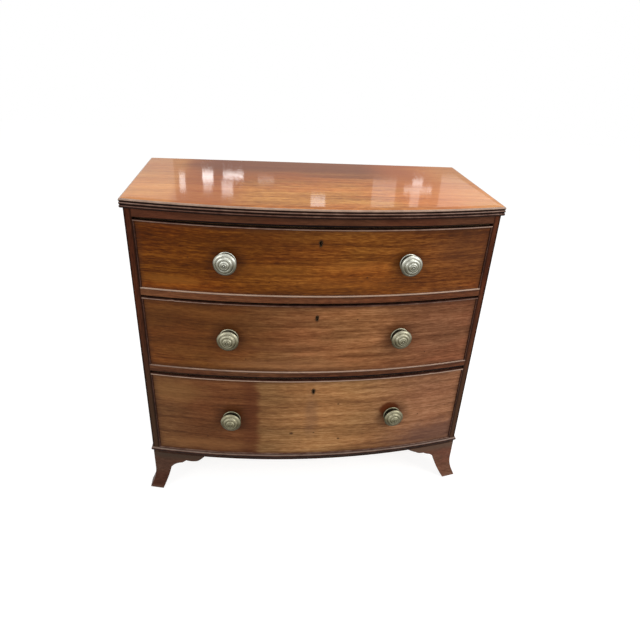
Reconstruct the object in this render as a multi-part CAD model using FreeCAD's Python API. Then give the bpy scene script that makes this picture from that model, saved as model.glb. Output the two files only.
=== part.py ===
import FreeCAD, Part
import math
import os

# Bow front chest of drawers: three cock-beaded drawers, reeded top, outswept bracket feet.
# Millimetres, +Z up, +X to the right of someone facing the chest, the front towards -Y.
# The pieces are worked out with Y = 0 on the back face, and moved at the end so that the
# origin is on the floor under the middle of the whole chest, knobs included.

# ---- driving dimensions -------------------------------------------------------------------
CARCASS_WIDTH = 900.0
CARCASS_DEPTH = 418.0        # back face to front corner, at the ends
BOW_RISE = 54.0              # how far the middle of the front stands out past its corners
FOOT_HEIGHT = 126.5          # floor to the underside of the carcass

TOP_THICKNESS = 22.0
TOP_OVERHANG = 7.0
REED_COUNT = 3
REED_DEPTH = 2.6

SIDE_THICKNESS = 18.0
STILE_DEPTH = 24.0
BOTTOM_THICKNESS = 20.0
RAIL_THICKNESS = 17.0
RAIL_END_DEPTH = 60.0        # rail, front to back, where it meets the side
FRIEZE_HEIGHT = 20.5
OPENING_HEIGHTS = {"bottom": 263.0, "middle": 205.5, "top": 180.5}
TENON_LENGTH = 9.0
TENON_WIDTH = 26.0
TENON_THICKNESS = 9.0

BACK_THICKNESS = 10.0
BACK_BOARD_COUNT = 4
BACK_BOARD_GAP = 1.0
BACK_RAIL_DEPTH = 60.0
RUNNER_WIDTH = 45.0
KICKER_WIDTH = 35.0
DUST_THICKNESS = 8.0
DUST_TONGUE = 6.0

BEAD_HEIGHT = 11.0           # half-round base bead
BEAD_PROJECTION = 5.0
BEAD_DROP = 0.5              # top of the base bead below the bottom board's upper face

FOOT_BOARD = 20.0            # thickness of a foot's boards
FOOT_FLARE = 18.0            # how far the toe sweeps out
FLARE_START = 66.0           # height where the sweep begins
TOE_CHAMFER = 4.0
# The brackets were sawn by eye, and the right front one is the stouter. Each point is
# (distance in from the carcass corner, height).
BRACKETS = {
    "left": {"toe": (18.0, 0.0), "knee": (47.0, 75.0), "cove": (80.0, 96.0),
             "cusp": (92.0, 106.0), "lobe": (126.0, 107.5), "tip": (146.0, FOOT_HEIGHT)},
    "right": {"toe": (20.0, 0.0), "knee": (62.0, 81.0), "cove": (84.0, 97.0),
              "cusp": (98.0, 104.5), "lobe": (124.0, 112.0), "tip": (150.0, FOOT_HEIGHT)},
}
# Where each curve of a bracket passes, as shares of the way across and up between its ends.
BRACKET_BENDS = {"leg": (0.6, 0.5), "knee": (0.35, 0.58), "cove": (0.5, 0.45), "tip": (0.4, 0.34)}
BRACKET_HOLLOW = 2.5         # sag of the curve between cusp and lobe
BLOCK_SIZE = 24.0
BLOCK_UNDERSIDE = 60.0       # glue blocks stop short of the floor

STOP_SIZE = (30.0, 20.0, 5.5)
STOP_OFFSET = 280.0
STOP_GAP = 0.3

DRAWER_SIDE_GAP = 1.0        # drawer to stile, each side
DRAWER_FOOT_GAP = 1.0        # below a drawer front
DRAWER_RUN_GAP = 0.3         # below the drawer sides, on their runners
DRAWER_TOP_GAPS = {"bottom": 7.0, "middle": 5.0, "top": 5.0}
DRAWER_BACK_GAP = 8.0        # behind the drawer
DRAWER_FRONT = 22.0
DRAWER_SIDE = 10.0
DRAWER_SIDE_DROP = 2.0       # sides' upper edge below the front's
DRAWER_BACK = 10.0
DRAWER_BACK_DROP = 9.0       # back's upper edge below the sides'
PANEL_THICKNESS = 7.0
PANEL_RAISE = 8.0            # underside of the panel above the front's lower edge
PANEL_SIDE_GROOVE = 5.0
PANEL_FRONT_GROOVE = 6.0
DOVETAIL_LAP = 1.0           # wood left between the lapped tails and the cock beads' seat
DOVETAIL_PITCH = 52.0
DOVETAIL_SLOPE = 1.0 / 7.0
DOVETAIL_SHARE = 0.58        # tail's width at its root, as a share of the pitch

COCK_THICKNESS = 4.0
COCK_SEAT = 9.0              # depth of the rebate it is glued in
COCK_PROUD = 3.0
COCK_ROUND = 1.2             # how far the rounding of its nose stands out

KNOB_OFFSET = 221.0
KNOB_HEIGHTS = {"bottom": 125.0, "middle": 103.0, "top": 87.0}  # above the front's lower edge
BOTTOM_RIGHT_KNOB_SHIFT = 8.0    # this knob was refitted, a little further out
KNOB_LENGTH = 33.5
KNOB_PLATE_RADIUS = 25.0
KNOB_PLATE_EDGE = 1.6
KNOB_NECK = ((14.0, 5.0), (9.5, 10.0), (12.5, 16.5))    # radius and distance out along its cove
KNOB_HEAD_RADIUS = 26.0
KNOB_HEAD_EDGE = (11.8, 9.2)                            # depths below the tip
KNOB_TURNED_RINGS = ((20.4, 7.1), (15.6, 4.7), (10.8, 2.8), (6.2, 1.3))  # radius, depth below the tip
SHANK_RADIUS = 3.0
SHANK_CLEARANCE = 0.3
NUT_WIDTH = 13.0
NUT_THICKNESS = 5.0
NUT_SEAT_GAP = 0.05

LOCK_WIDTH = 62.0
LOCK_HEIGHT = 50.0
LOCK_DEPTH = 9.0
BOLT_WIDTH = 26.0
BOLT_THICKNESS = 5.0
BOLT_HEIGHT = 23.0
BOLT_CLEARANCE = 0.3
BOLT_DROP = 0.5              # bolt's end below the drawer's upper edge, unlocked
TALON = ((-0.4, 0.0), (-0.15, 0.4), (0.15, 0.4), (0.4, 0.0))  # notch that the key throws it by
MORTISE_CLEARANCE = 1.5
MORTISE_DEPTH = 12.0
KEYHOLE_DROP = 33.0          # centre of the keyhole below the drawer's upper edge
KEYHOLE_RADIUS = 3.3
KEYHOLE_SLOT = 1.7           # half the slot's width
KEYHOLE_TAIL = 8.0           # slot's end below the centre
THREAD_WALL = 0.9
THREAD_DEPTH = 3.0
THREAD_PROUD = 0.2

# ---- sizes that follow --------------------------------------------------------------------
HALF = CARCASS_WIDTH / 2
INNER_HALF = HALF - SIDE_THICKNESS
BOW_RADIUS = (HALF**2 + BOW_RISE**2) / (2 * BOW_RISE)
BOW_CENTRE_Y = BOW_RADIUS - CARCASS_DEPTH - BOW_RISE
CARCASS_BASE = FOOT_HEIGHT
BOTTOM_TOP = CARCASS_BASE + BOTTOM_THICKNESS
RAIL_BACK_Y = -(CARCASS_DEPTH - RAIL_END_DEPTH)
STILE_BACK_Y = -(CARCASS_DEPTH - STILE_DEPTH)

LEVELS = {}                  # lower and upper limit of each drawer opening
opening_low = BOTTOM_TOP
for opening, opening_height in OPENING_HEIGHTS.items():
    LEVELS[opening] = (opening_low, opening_low + opening_height)
    opening_low += opening_height + RAIL_THICKNESS
LOWER_RAIL_Z = LEVELS["bottom"][1]
UPPER_RAIL_Z = LEVELS["middle"][1]
FRIEZE_Z = LEVELS["top"][1]
TOP_UNDERSIDE = FRIEZE_Z + FRIEZE_HEIGHT
HEIGHT = TOP_UNDERSIDE + TOP_THICKNESS
MARGIN = 60.0                # how far a large cutting solid runs past what it cuts
OVERRUN = 1.0                # how far a small one does

nodes = {}


# ---- shapes the chest is made from --------------------------------------------------------
def vec(x, y, z=0.0):
    return FreeCAD.Vector(x, y, z)


def box(x0, x1, y0, y1, z0, z1):
    corner = vec(min(x0, x1), min(y0, y1), min(z0, z1))
    return Part.makeBox(abs(x1 - x0), abs(y1 - y0), abs(z1 - z0), corner)


def bow_y(x, radius=BOW_RADIUS):
    """Y of the bow of that radius, at x."""
    return BOW_CENTRE_Y - math.sqrt(radius**2 - x**2)


def bow_point(x, radius, z=0.0):
    return vec(x, bow_y(x, radius), z)


def bow_arc(x0, x1, radius, z=0.0):
    middle = bow_point((x0 + x1) / 2, radius, z)
    return Part.Arc(bow_point(x0, radius, z), middle, bow_point(x1, radius, z)).toShape()


def line(a, b):
    return Part.LineSegment(a, b).toShape()


def prism(edges, direction):
    return Part.Face(Part.Wire(Part.__sortEdges__(edges))).extrude(direction)


def polygon(points, direction):
    return Part.Face(Part.makePolygon(points + [points[0]])).extrude(direction)


def bow_strip(x0, x1, inner, outer, z0, z1):
    """Board sawn to the bow: between two concentric arcs, its ends cut square to X."""
    edges = [
        bow_arc(x0, x1, outer, z0),
        line(bow_point(x1, outer, z0), bow_point(x1, inner, z0)),
        bow_arc(x1, x0, inner, z0),
        line(bow_point(x0, inner, z0), bow_point(x0, outer, z0)),
    ]
    return prism(edges, vec(0, 0, z1 - z0))


def bow_plate(half_width, back_y, radius, z0, z1):
    """Board with a straight back edge and a bowed front edge."""
    left, right = vec(-half_width, back_y, z0), vec(half_width, back_y, z0)
    edges = [
        bow_arc(-half_width, half_width, radius, z0),
        line(bow_point(half_width, radius, z0), right),
        line(right, left),
        line(left, bow_point(-half_width, radius, z0)),
    ]
    return prism(edges, vec(0, 0, z1 - z0))


def turned_through(wire, start, end):
    """A profile of (radius, 0, z) turned about the bow's centre, between angles from the middle."""
    centre = vec(0, BOW_CENTRE_Y, 0)
    face = Part.Face(wire)
    face.translate(centre)
    face.rotate(centre, vec(0, 0, 1), start - 90)
    return face.revolve(centre, vec(0, 0, 1), end - start)


def turned_about_bow(wire, half_width):
    """A profile of (radius, 0, z) carried along the bow and cut off at x = +-half_width."""
    sweep = math.degrees(math.asin(min(1.0, (half_width + MARGIN) / wire.BoundBox.XMin)))
    solid = turned_through(wire, -sweep, sweep)
    limits = solid.BoundBox
    limits.enlarge(OVERRUN)
    return solid.common(box(-half_width, half_width, limits.YMin, limits.YMax, limits.ZMin, limits.ZMax))


def mirrored(shape):
    """The same piece for the other side of the chest."""
    return shape.mirror(vec(0, 0, 0), vec(1, 0, 0))


def group(shapes):
    """Separate solids that share one node."""
    return Part.makeCompound([solid for shape in shapes for solid in shape.Solids])


# ---- top ----------------------------------------------------------------------------------
def reeded_edge(inner, outer, z0, z1):
    """Profile of the top's edge in (distance, 0, z): half-round reeds between inner and outer."""
    pitch = (z1 - z0) / REED_COUNT
    root = outer - REED_DEPTH
    edges = []
    for i in range(REED_COUNT):
        low, high = z0 + i * pitch, z0 + (i + 1) * pitch
        reed = Part.Arc(vec(root, 0, low), vec(outer, 0, (low + high) / 2), vec(root, 0, high))
        edges.append(reed.toShape())
    edges.append(line(vec(root, 0, z1), vec(inner, 0, z1)))
    edges.append(line(vec(inner, 0, z1), vec(inner, 0, z0)))
    edges.append(line(vec(inner, 0, z0), vec(root, 0, z0)))
    return Part.Wire(Part.__sortEdges__(edges))


def top_board():
    """The reeds follow the bow along the front and return square along both ends."""
    half = HALF + TOP_OVERHANG
    depth = CARCASS_DEPTH + BOW_RISE + TOP_OVERHANG + MARGIN
    front_edge = reeded_edge(BOW_CENTRE_Y - MARGIN, BOW_RADIUS + TOP_OVERHANG, TOP_UNDERSIDE, HEIGHT)
    front = turned_about_bow(front_edge, half + OVERRUN)
    end = Part.Face(reeded_edge(0, half, TOP_UNDERSIDE, HEIGHT)).extrude(vec(0, -depth, 0))
    return front.common(end.fuse(mirrored(end))).removeSplitter()


# ---- carcass ------------------------------------------------------------------------------
def tenon_box(z0, thickness):
    """One end's stub tenon, the same solid that its mortise is cut with."""
    middle_y = RAIL_BACK_Y - (RAIL_END_DEPTH - STILE_DEPTH) / 2
    low = z0 + (thickness - TENON_THICKNESS) / 2
    return box(
        INNER_HALF, INNER_HALF + TENON_LENGTH,
        middle_y - TENON_WIDTH / 2, middle_y + TENON_WIDTH / 2,
        low, low + TENON_THICKNESS,
    )


RAILS = {"frieze_rail": (FRIEZE_Z, FRIEZE_HEIGHT), "upper_rail": (UPPER_RAIL_Z, RAIL_THICKNESS),
         "lower_rail": (LOWER_RAIL_Z, RAIL_THICKNESS)}


def side():
    panel = box(INNER_HALF, HALF, STILE_BACK_Y, 0, CARCASS_BASE, TOP_UNDERSIDE)
    rebate = box(INNER_HALF, INNER_HALF + BACK_THICKNESS, -BACK_THICKNESS, 0, CARCASS_BASE, TOP_UNDERSIDE)
    panel = panel.cut(rebate)
    for z0, thickness in RAILS.values():
        panel = panel.cut(tenon_box(z0, thickness))
    return panel


def stile():
    """Corner post in front of the side, its face worked to the bow."""
    back_inner, back_outer = vec(INNER_HALF, STILE_BACK_Y), vec(HALF, STILE_BACK_Y)
    edges = [
        bow_arc(INNER_HALF, HALF, BOW_RADIUS),
        line(bow_point(HALF, BOW_RADIUS), back_outer),
        line(back_outer, back_inner),
        line(back_inner, bow_point(INNER_HALF, BOW_RADIUS)),
    ]
    post = prism(edges, vec(0, 0, TOP_UNDERSIDE - CARCASS_BASE))
    post.translate(vec(0, 0, CARCASS_BASE))
    return post


def dust_board(rail_z):
    low = rail_z + (RAIL_THICKNESS - DUST_THICKNESS) / 2
    half = INNER_HALF - RUNNER_WIDTH + DUST_TONGUE
    return box(-half, half, RAIL_BACK_Y - DUST_TONGUE, -BACK_THICKNESS, low, low + DUST_THICKNESS)


def bolt_mortise(rail_z):
    """Slot under a rail that the lock bolt below it rises into."""
    y0, y1 = bolt_span_y()
    half = BOLT_WIDTH / 2 + MORTISE_CLEARANCE
    return box(-half, half, y0 - MORTISE_CLEARANCE, y1 + MORTISE_CLEARANCE, rail_z, rail_z + MORTISE_DEPTH)


def rail(rail_z, thickness):
    body = bow_plate(INNER_HALF, RAIL_BACK_Y, BOW_RADIUS, rail_z, rail_z + thickness)
    tenon = tenon_box(rail_z, thickness)
    body = body.fuse([tenon, mirrored(tenon)])
    return body.cut(bolt_mortise(rail_z)).removeSplitter()


def runner(rail_z):
    inner_x = INNER_HALF - RUNNER_WIDTH
    strip = box(inner_x, INNER_HALF, RAIL_BACK_Y, -BACK_THICKNESS, rail_z, rail_z + RAIL_THICKNESS)
    return strip.cut(dust_board(rail_z))


def kicker():
    """Strip over the top drawer's sides that keeps the drawer from tipping."""
    back_y = -BACK_THICKNESS - BACK_RAIL_DEPTH
    return box(INNER_HALF - KICKER_WIDTH, INNER_HALF, RAIL_BACK_Y, back_y, FRIEZE_Z, TOP_UNDERSIDE)


def back_boards():
    half = INNER_HALF + BACK_THICKNESS
    pitch = (TOP_UNDERSIDE - CARCASS_BASE) / BACK_BOARD_COUNT
    boards = []
    for i in range(BACK_BOARD_COUNT):
        low = CARCASS_BASE + i * pitch
        high = low + pitch - (BACK_BOARD_GAP if i < BACK_BOARD_COUNT - 1 else 0)
        boards.append(box(-half, half, -BACK_THICKNESS, 0, low, high))
    return boards


def drawer_stops():
    """Blocks on each rail that the closed drawer's front meets."""
    width, depth, height = STOP_SIZE
    inner_end = STOP_OFFSET - width / 2
    outer_end = STOP_OFFSET + width / 2
    front_y = bow_y(outer_end, BOW_RADIUS - DRAWER_FRONT) + STOP_GAP
    stops = []
    for low, _ in LEVELS.values():
        stop = box(inner_end, outer_end, front_y, front_y + depth, low, low + height)
        stops += [stop, mirrored(stop)]
    return stops


def bead_section(distance):
    """Half-round of the base bead in (distance, 0, z), flat against the carcass at distance."""
    top = BOTTOM_TOP - BEAD_DROP
    low = top - BEAD_HEIGHT
    middle = (low + top) / 2
    radius = (BEAD_PROJECTION**2 + (BEAD_HEIGHT / 2) ** 2) / (2 * BEAD_PROJECTION)

    def nose(z):
        return vec(distance + BEAD_PROJECTION - radius + math.sqrt(radius**2 - (z - middle) ** 2), 0, z)

    return Part.Wire([
        Part.Arc(nose(low), nose((low + middle) / 2), nose(middle)).toShape(),
        Part.Arc(nose(middle), nose((middle + top) / 2), nose(top)).toShape(),
        line(nose(top), nose(low)),
    ])


def mitre_ends():
    """Outer and inner ends of the right front corner's mitre line, in plan."""
    corner = bow_point(HALF, BOW_RADIUS)
    lean = math.asin(HALF / BOW_RADIUS)
    along = vec(1.0, -(1 - math.sin(lean)) / math.cos(lean))
    reach = (BOW_RISE + 2 * MARGIN) / -along.y
    return corner + along * reach, corner - along * MARGIN


def front_zone():
    """Everything in front of both mitres, as high as the chest's base."""
    outer, inner = mitre_ends()
    points = [outer, inner, vec(-inner.x, inner.y), vec(-outer.x, outer.y)]
    return polygon(points, vec(0, 0, FOOT_HEIGHT + MARGIN))


def end_zone():
    """Everything behind the right-hand mitre, as high as the chest's base."""
    outer, inner = mitre_ends()
    points = [outer, inner, vec(inner.x, MARGIN), vec(outer.x, MARGIN)]
    return polygon(points, vec(0, 0, FOOT_HEIGHT + MARGIN))


def base_bead():
    """One bowed length and two straight returns, mitred at the front corners."""
    end = Part.Face(bead_section(HALF)).extrude(vec(0, -CARCASS_DEPTH - MARGIN, 0))
    end = end.common(end_zone())
    plain = math.degrees(math.asin((HALF - 2 * BEAD_PROJECTION) / BOW_RADIUS))
    whole = math.degrees(math.asin((HALF + 2 * BEAD_PROJECTION) / BOW_RADIUS))
    section = bead_section(BOW_RADIUS)
    mitred = turned_through(section, plain, whole).common(front_zone())
    front = turned_through(section, -plain, plain).fuse([mitred, mirrored(mitred)])
    return [front, end, mirrored(end)]


# ---- feet ---------------------------------------------------------------------------------
def foot_section(distance):
    """A foot board's section in (distance, 0, z): straight above, swept out to the toe below."""
    reach = FLARE_START - TOE_CHAMFER
    sweep = (FOOT_FLARE**2 + reach**2) / (2 * FOOT_FLARE)
    inner_sweep = sweep + FOOT_BOARD

    def outer(z):
        return distance + sweep - math.sqrt(sweep**2 - (FLARE_START - z) ** 2)

    def inner(z):
        return distance + sweep - math.sqrt(inner_sweep**2 - (FLARE_START - z) ** 2)

    half_way = FLARE_START / 2
    toe = vec(outer(TOE_CHAMFER), 0, TOE_CHAMFER)
    sole = vec(outer(TOE_CHAMFER) - TOE_CHAMFER, 0, 0)
    heel = vec(inner(0), 0, 0)
    face_top, back_top = vec(distance, 0, FOOT_HEIGHT), vec(distance - FOOT_BOARD, 0, FOOT_HEIGHT)
    face_bend, back_bend = vec(distance, 0, FLARE_START), vec(distance - FOOT_BOARD, 0, FLARE_START)
    edges = [
        line(face_top, face_bend),
        Part.Arc(face_bend, vec(outer(half_way), 0, half_way), toe).toShape(),
        line(toe, sole),
        line(sole, heel),
        Part.Arc(heel, vec(inner(half_way), 0, half_way), back_bend).toShape(),
        line(back_bend, back_top),
        line(back_top, face_top),
    ]
    return Part.Wire(Part.__sortEdges__(edges))


def between(start, end, along, up):
    """Point part of the way from start to end, by separate shares across and up."""
    return vec(start.x + along * (end.x - start.x), 0, start.z + up * (end.z - start.z))


def bracket_outline(outer_edge, hand):
    """Elevation of a foot in (distance in from the corner, 0, z), from outer_edge inwards."""
    toe, knee, cove, cusp, lobe, tip = (vec(u, 0, z) for u, z in BRACKETS[hand].values())
    hollow = vec((cusp.x + lobe.x) / 2, 0, (cusp.z + lobe.z) / 2 - BRACKET_HOLLOW)
    corner_top, corner_low = vec(outer_edge, 0, FOOT_HEIGHT), vec(outer_edge, 0, 0)
    edges = [
        Part.Arc(toe, between(toe, knee, *BRACKET_BENDS["leg"]), knee).toShape(),
        Part.Arc(knee, between(knee, cove, *BRACKET_BENDS["knee"]), cove).toShape(),
        Part.Arc(cove, between(cove, cusp, *BRACKET_BENDS["cove"]), cusp).toShape(),
        Part.Arc(cusp, hollow, lobe).toShape(),
        Part.Arc(lobe, between(lobe, tip, *BRACKET_BENDS["tip"]), tip).toShape(),
        line(tip, corner_top),
        line(corner_top, corner_low),
        line(corner_low, toe),
    ]
    return Part.Face(Part.Wire(Part.__sortEdges__(edges)))


def elevation_from_right(outer_edge, hand):
    """The outline as seen from the front, at the right-hand corner, reaching through the chest."""
    face = bracket_outline(outer_edge, hand).mirror(vec(0, 0, 0), vec(1, 0, 0))
    face.translate(vec(HALF, MARGIN, 0))
    return face.extrude(vec(0, -CARCASS_DEPTH - BOW_RISE - 3 * MARGIN, 0))


def elevation_from_end(outer_edge, corner_y, towards_back):
    """The outline as seen from the end of the chest, its corner at corner_y."""
    face = bracket_outline(outer_edge, "left")
    face.rotate(vec(0, 0, 0), vec(0, 0, 1), 90 if towards_back else -90)
    face.translate(vec(HALF - 2 * MARGIN, corner_y, 0))
    return face.extrude(vec(4 * MARGIN, 0, 0))


def end_shell():
    """A foot board's section carried along the end of the chest."""
    return Part.Face(foot_section(HALF)).extrude(vec(0, -CARCASS_DEPTH - MARGIN, 0))


def front_foot(hand):
    """Front board and end board of a front foot, placed on the right, mitred at the corner."""
    front = turned_about_bow(foot_section(BOW_RADIUS), HALF + 2 * FOOT_FLARE)
    front = front.common(front_zone()).common(elevation_from_right(-2 * FOOT_FLARE, hand))
    end = end_shell().common(end_zone()).common(elevation_from_end(-2 * FOOT_FLARE, bow_y(HALF), True))
    return front, end


def rear_foot():
    """End board and plain back board of the right rear foot."""
    end = end_shell().common(elevation_from_end(0, 0, False))
    back = elevation_from_right(0, "left").common(box(0, HALF, -FOOT_BOARD, 0, 0, FOOT_HEIGHT))
    back = back.cut(end_shell())
    outside = box(HALF - FOOT_BOARD, HALF + MARGIN, -CARCASS_DEPTH, 0, FLARE_START, FOOT_HEIGHT)
    return end, back.cut(outside)


def foot_blocks():
    """Upright glue block in the corner behind each foot, clear of the floor."""
    outer_x = HALF - FOOT_BOARD
    inner_x = outer_x - BLOCK_SIZE
    front_y = bow_y(outer_x, BOW_RADIUS - FOOT_BOARD)
    front = bow_strip(inner_x, outer_x, BOW_RADIUS - FOOT_BOARD - BLOCK_SIZE, BOW_RADIUS - FOOT_BOARD,
                      BLOCK_UNDERSIDE, FOOT_HEIGHT)
    front = front.common(box(inner_x, outer_x, front_y - MARGIN, front_y + BLOCK_SIZE, 0, FOOT_HEIGHT))
    rear = box(inner_x, outer_x, -FOOT_BOARD - BLOCK_SIZE, -FOOT_BOARD, BLOCK_UNDERSIDE, FOOT_HEIGHT)
    return [front, mirrored(front), rear, mirrored(rear)]


# ---- drawers ------------------------------------------------------------------------------
DRAWER_HALF = INNER_HALF - DRAWER_SIDE_GAP
FRONT_INNER = BOW_RADIUS - DRAWER_FRONT
COCK_INNER = BOW_RADIUS - COCK_SEAT
LAPPED_LENGTH = DRAWER_FRONT - COCK_SEAT - DOVETAIL_LAP
DRAWER_BACK_Y = -BACK_THICKNESS - DRAWER_BACK_GAP
LOCK_BACK_Y = bow_y(LOCK_WIDTH / 2, FRONT_INNER)
LOCK_FRONT_Y = LOCK_BACK_Y - LOCK_DEPTH


def bolt_span_y():
    middle = LOCK_BACK_Y - LOCK_DEPTH / 2
    return middle - BOLT_THICKNESS / 2, middle + BOLT_THICKNESS / 2


def tails(root_y, tip_y, low, high):
    """Row of dovetails in one drawer side, from their roots to their wider tips."""
    count = max(2, round((high - low) / DOVETAIL_PITCH))
    pitch = (high - low) / count
    half_root = pitch * DOVETAIL_SHARE / 2
    half_tip = half_root + abs(tip_y - root_y) * DOVETAIL_SLOPE
    row = []
    for i in range(count):
        z = low + (i + 0.5) * pitch
        points = [
            vec(DRAWER_HALF - DRAWER_SIDE, root_y, z - half_root),
            vec(DRAWER_HALF - DRAWER_SIDE, root_y, z + half_root),
            vec(DRAWER_HALF - DRAWER_SIDE, tip_y, z + half_tip),
            vec(DRAWER_HALF - DRAWER_SIDE, tip_y, z - half_tip),
        ]
        row.append(polygon(points, vec(DRAWER_SIDE, 0, 0)))
    return row


def keyhole(grow, y0, y1, z):
    """Round hole with a slot below it, from y0 to y1."""
    radius = KEYHOLE_RADIUS + grow
    slot = KEYHOLE_SLOT + grow
    tail = z - KEYHOLE_TAIL - grow
    bow = Part.makeCylinder(radius, y1 - y0, vec(0, y0, z), vec(0, 1, 0))
    ward = box(-slot, slot, y0, y1, tail, z)
    return bow.fuse(ward).removeSplitter()


def knob_section():
    """Half section of a knob in (radius, 0, distance out from the drawer's face)."""
    shank_end = -DRAWER_FRONT - NUT_SEAT_GAP
    collar, waist, shoulder = (vec(radius, 0, height) for radius, height in KNOB_NECK)
    root = vec(0, 0, shank_end)
    shank = [vec(SHANK_RADIUS, 0, shank_end), vec(SHANK_RADIUS, 0, 0)]
    plate = [vec(KNOB_PLATE_RADIUS, 0, 0), vec(KNOB_PLATE_RADIUS, 0, KNOB_PLATE_EDGE)]
    edge = [vec(KNOB_HEAD_RADIUS, 0, KNOB_LENGTH - depth) for depth in KNOB_HEAD_EDGE]
    rings = [vec(radius, 0, KNOB_LENGTH - depth) for radius, depth in KNOB_TURNED_RINGS]
    tip = vec(0, 0, KNOB_LENGTH)
    return Part.Face(Part.Wire([
        *Part.makePolygon([root, *shank, *plate, collar]).Edges,
        Part.Arc(collar, waist, shoulder).toShape(),
        *Part.makePolygon([shoulder, *edge, *rings, tip, root]).Edges,
    ]))


def on_bow(shape, x, z):
    """Sets a piece made about +Z on the drawer's face at (x, z), its axis square to the bow."""
    lean = math.degrees(math.asin(x / BOW_RADIUS))
    placed = shape.copy()
    placed.rotate(vec(0, 0, 0), vec(1, 0, 0), 90)
    placed.rotate(vec(0, 0, 0), vec(0, 0, 1), lean)
    placed.translate(bow_point(x, BOW_RADIUS, z))
    return placed


def knob():
    return knob_section().revolve(vec(0, 0, 0), vec(0, 0, 1), 360)


def knob_nut():
    """Square blind nut drawn up on the shank's end, against the inside of the drawer front."""
    half = NUT_WIDTH / 2
    seat = -DRAWER_FRONT - NUT_SEAT_GAP
    return box(-half, half, -half, half, seat - NUT_THICKNESS, seat)


def shank_hole():
    depth = DRAWER_FRONT + OVERRUN
    return Part.makeCylinder(SHANK_RADIUS + SHANK_CLEARANCE, depth + OVERRUN, vec(0, 0, -depth))


def cock_bead_section(low):
    """Section of a cock bead in (radius, 0, z): flat in its rebate, round on its nose."""
    high = low + COCK_THICKNESS
    nose = BOW_RADIUS + COCK_PROUD
    shoulder = nose - COCK_ROUND
    edges = [
        line(vec(COCK_INNER, 0, low), vec(shoulder, 0, low)),
        Part.Arc(vec(shoulder, 0, low), vec(nose, 0, (low + high) / 2), vec(shoulder, 0, high)).toShape(),
        line(vec(shoulder, 0, high), vec(COCK_INNER, 0, high)),
        line(vec(COCK_INNER, 0, high), vec(COCK_INNER, 0, low)),
    ]
    return Part.Wire(Part.__sortEdges__(edges))


def end_cock_bead(low, high):
    """Upright bead at the right end of a drawer front, between the long beads."""
    x0, x1 = DRAWER_HALF - COCK_THICKNESS, DRAWER_HALF
    middle = (x0 + x1) / 2
    nose = bow_point(middle, BOW_RADIUS + COCK_PROUD)
    shoulder = nose.y + COCK_ROUND
    edges = [
        bow_arc(x0, x1, COCK_INNER),
        line(bow_point(x1, COCK_INNER), vec(x1, shoulder)),
        Part.Arc(vec(x1, shoulder), nose, vec(x0, shoulder)).toShape(),
        line(vec(x0, shoulder), bow_point(x0, COCK_INNER)),
    ]
    bead = prism(edges, vec(0, 0, high - low))
    bead.translate(vec(0, 0, low))
    return bead


def bolt_solid(top):
    y0, y1 = bolt_span_y()
    half = BOLT_WIDTH / 2
    low = top - BOLT_DROP - BOLT_HEIGHT
    talon = [vec(x * half, y0, low + up * BOLT_HEIGHT) for x, up in TALON]
    body = box(-half, half, y0, y1, low, top - BOLT_DROP)
    return body.cut(polygon(talon, vec(0, BOLT_THICKNESS, 0)))


def lock_case_solid(top, key_z):
    """Iron case flush with the inside and the upper edge of the drawer front."""
    half = LOCK_WIDTH / 2
    case = box(-half, half, LOCK_FRONT_Y, LOCK_BACK_Y, top - LOCK_HEIGHT, top)
    y0, y1 = bolt_span_y()
    slot_half = BOLT_WIDTH / 2 + BOLT_CLEARANCE
    slot_low = top - BOLT_DROP - BOLT_HEIGHT - BOLT_CLEARANCE
    case = case.cut(box(-slot_half, slot_half, y0 - BOLT_CLEARANCE, y1 + BOLT_CLEARANCE, slot_low, top))
    return case.cut(keyhole(0, LOCK_FRONT_Y, y1, key_z))


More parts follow.
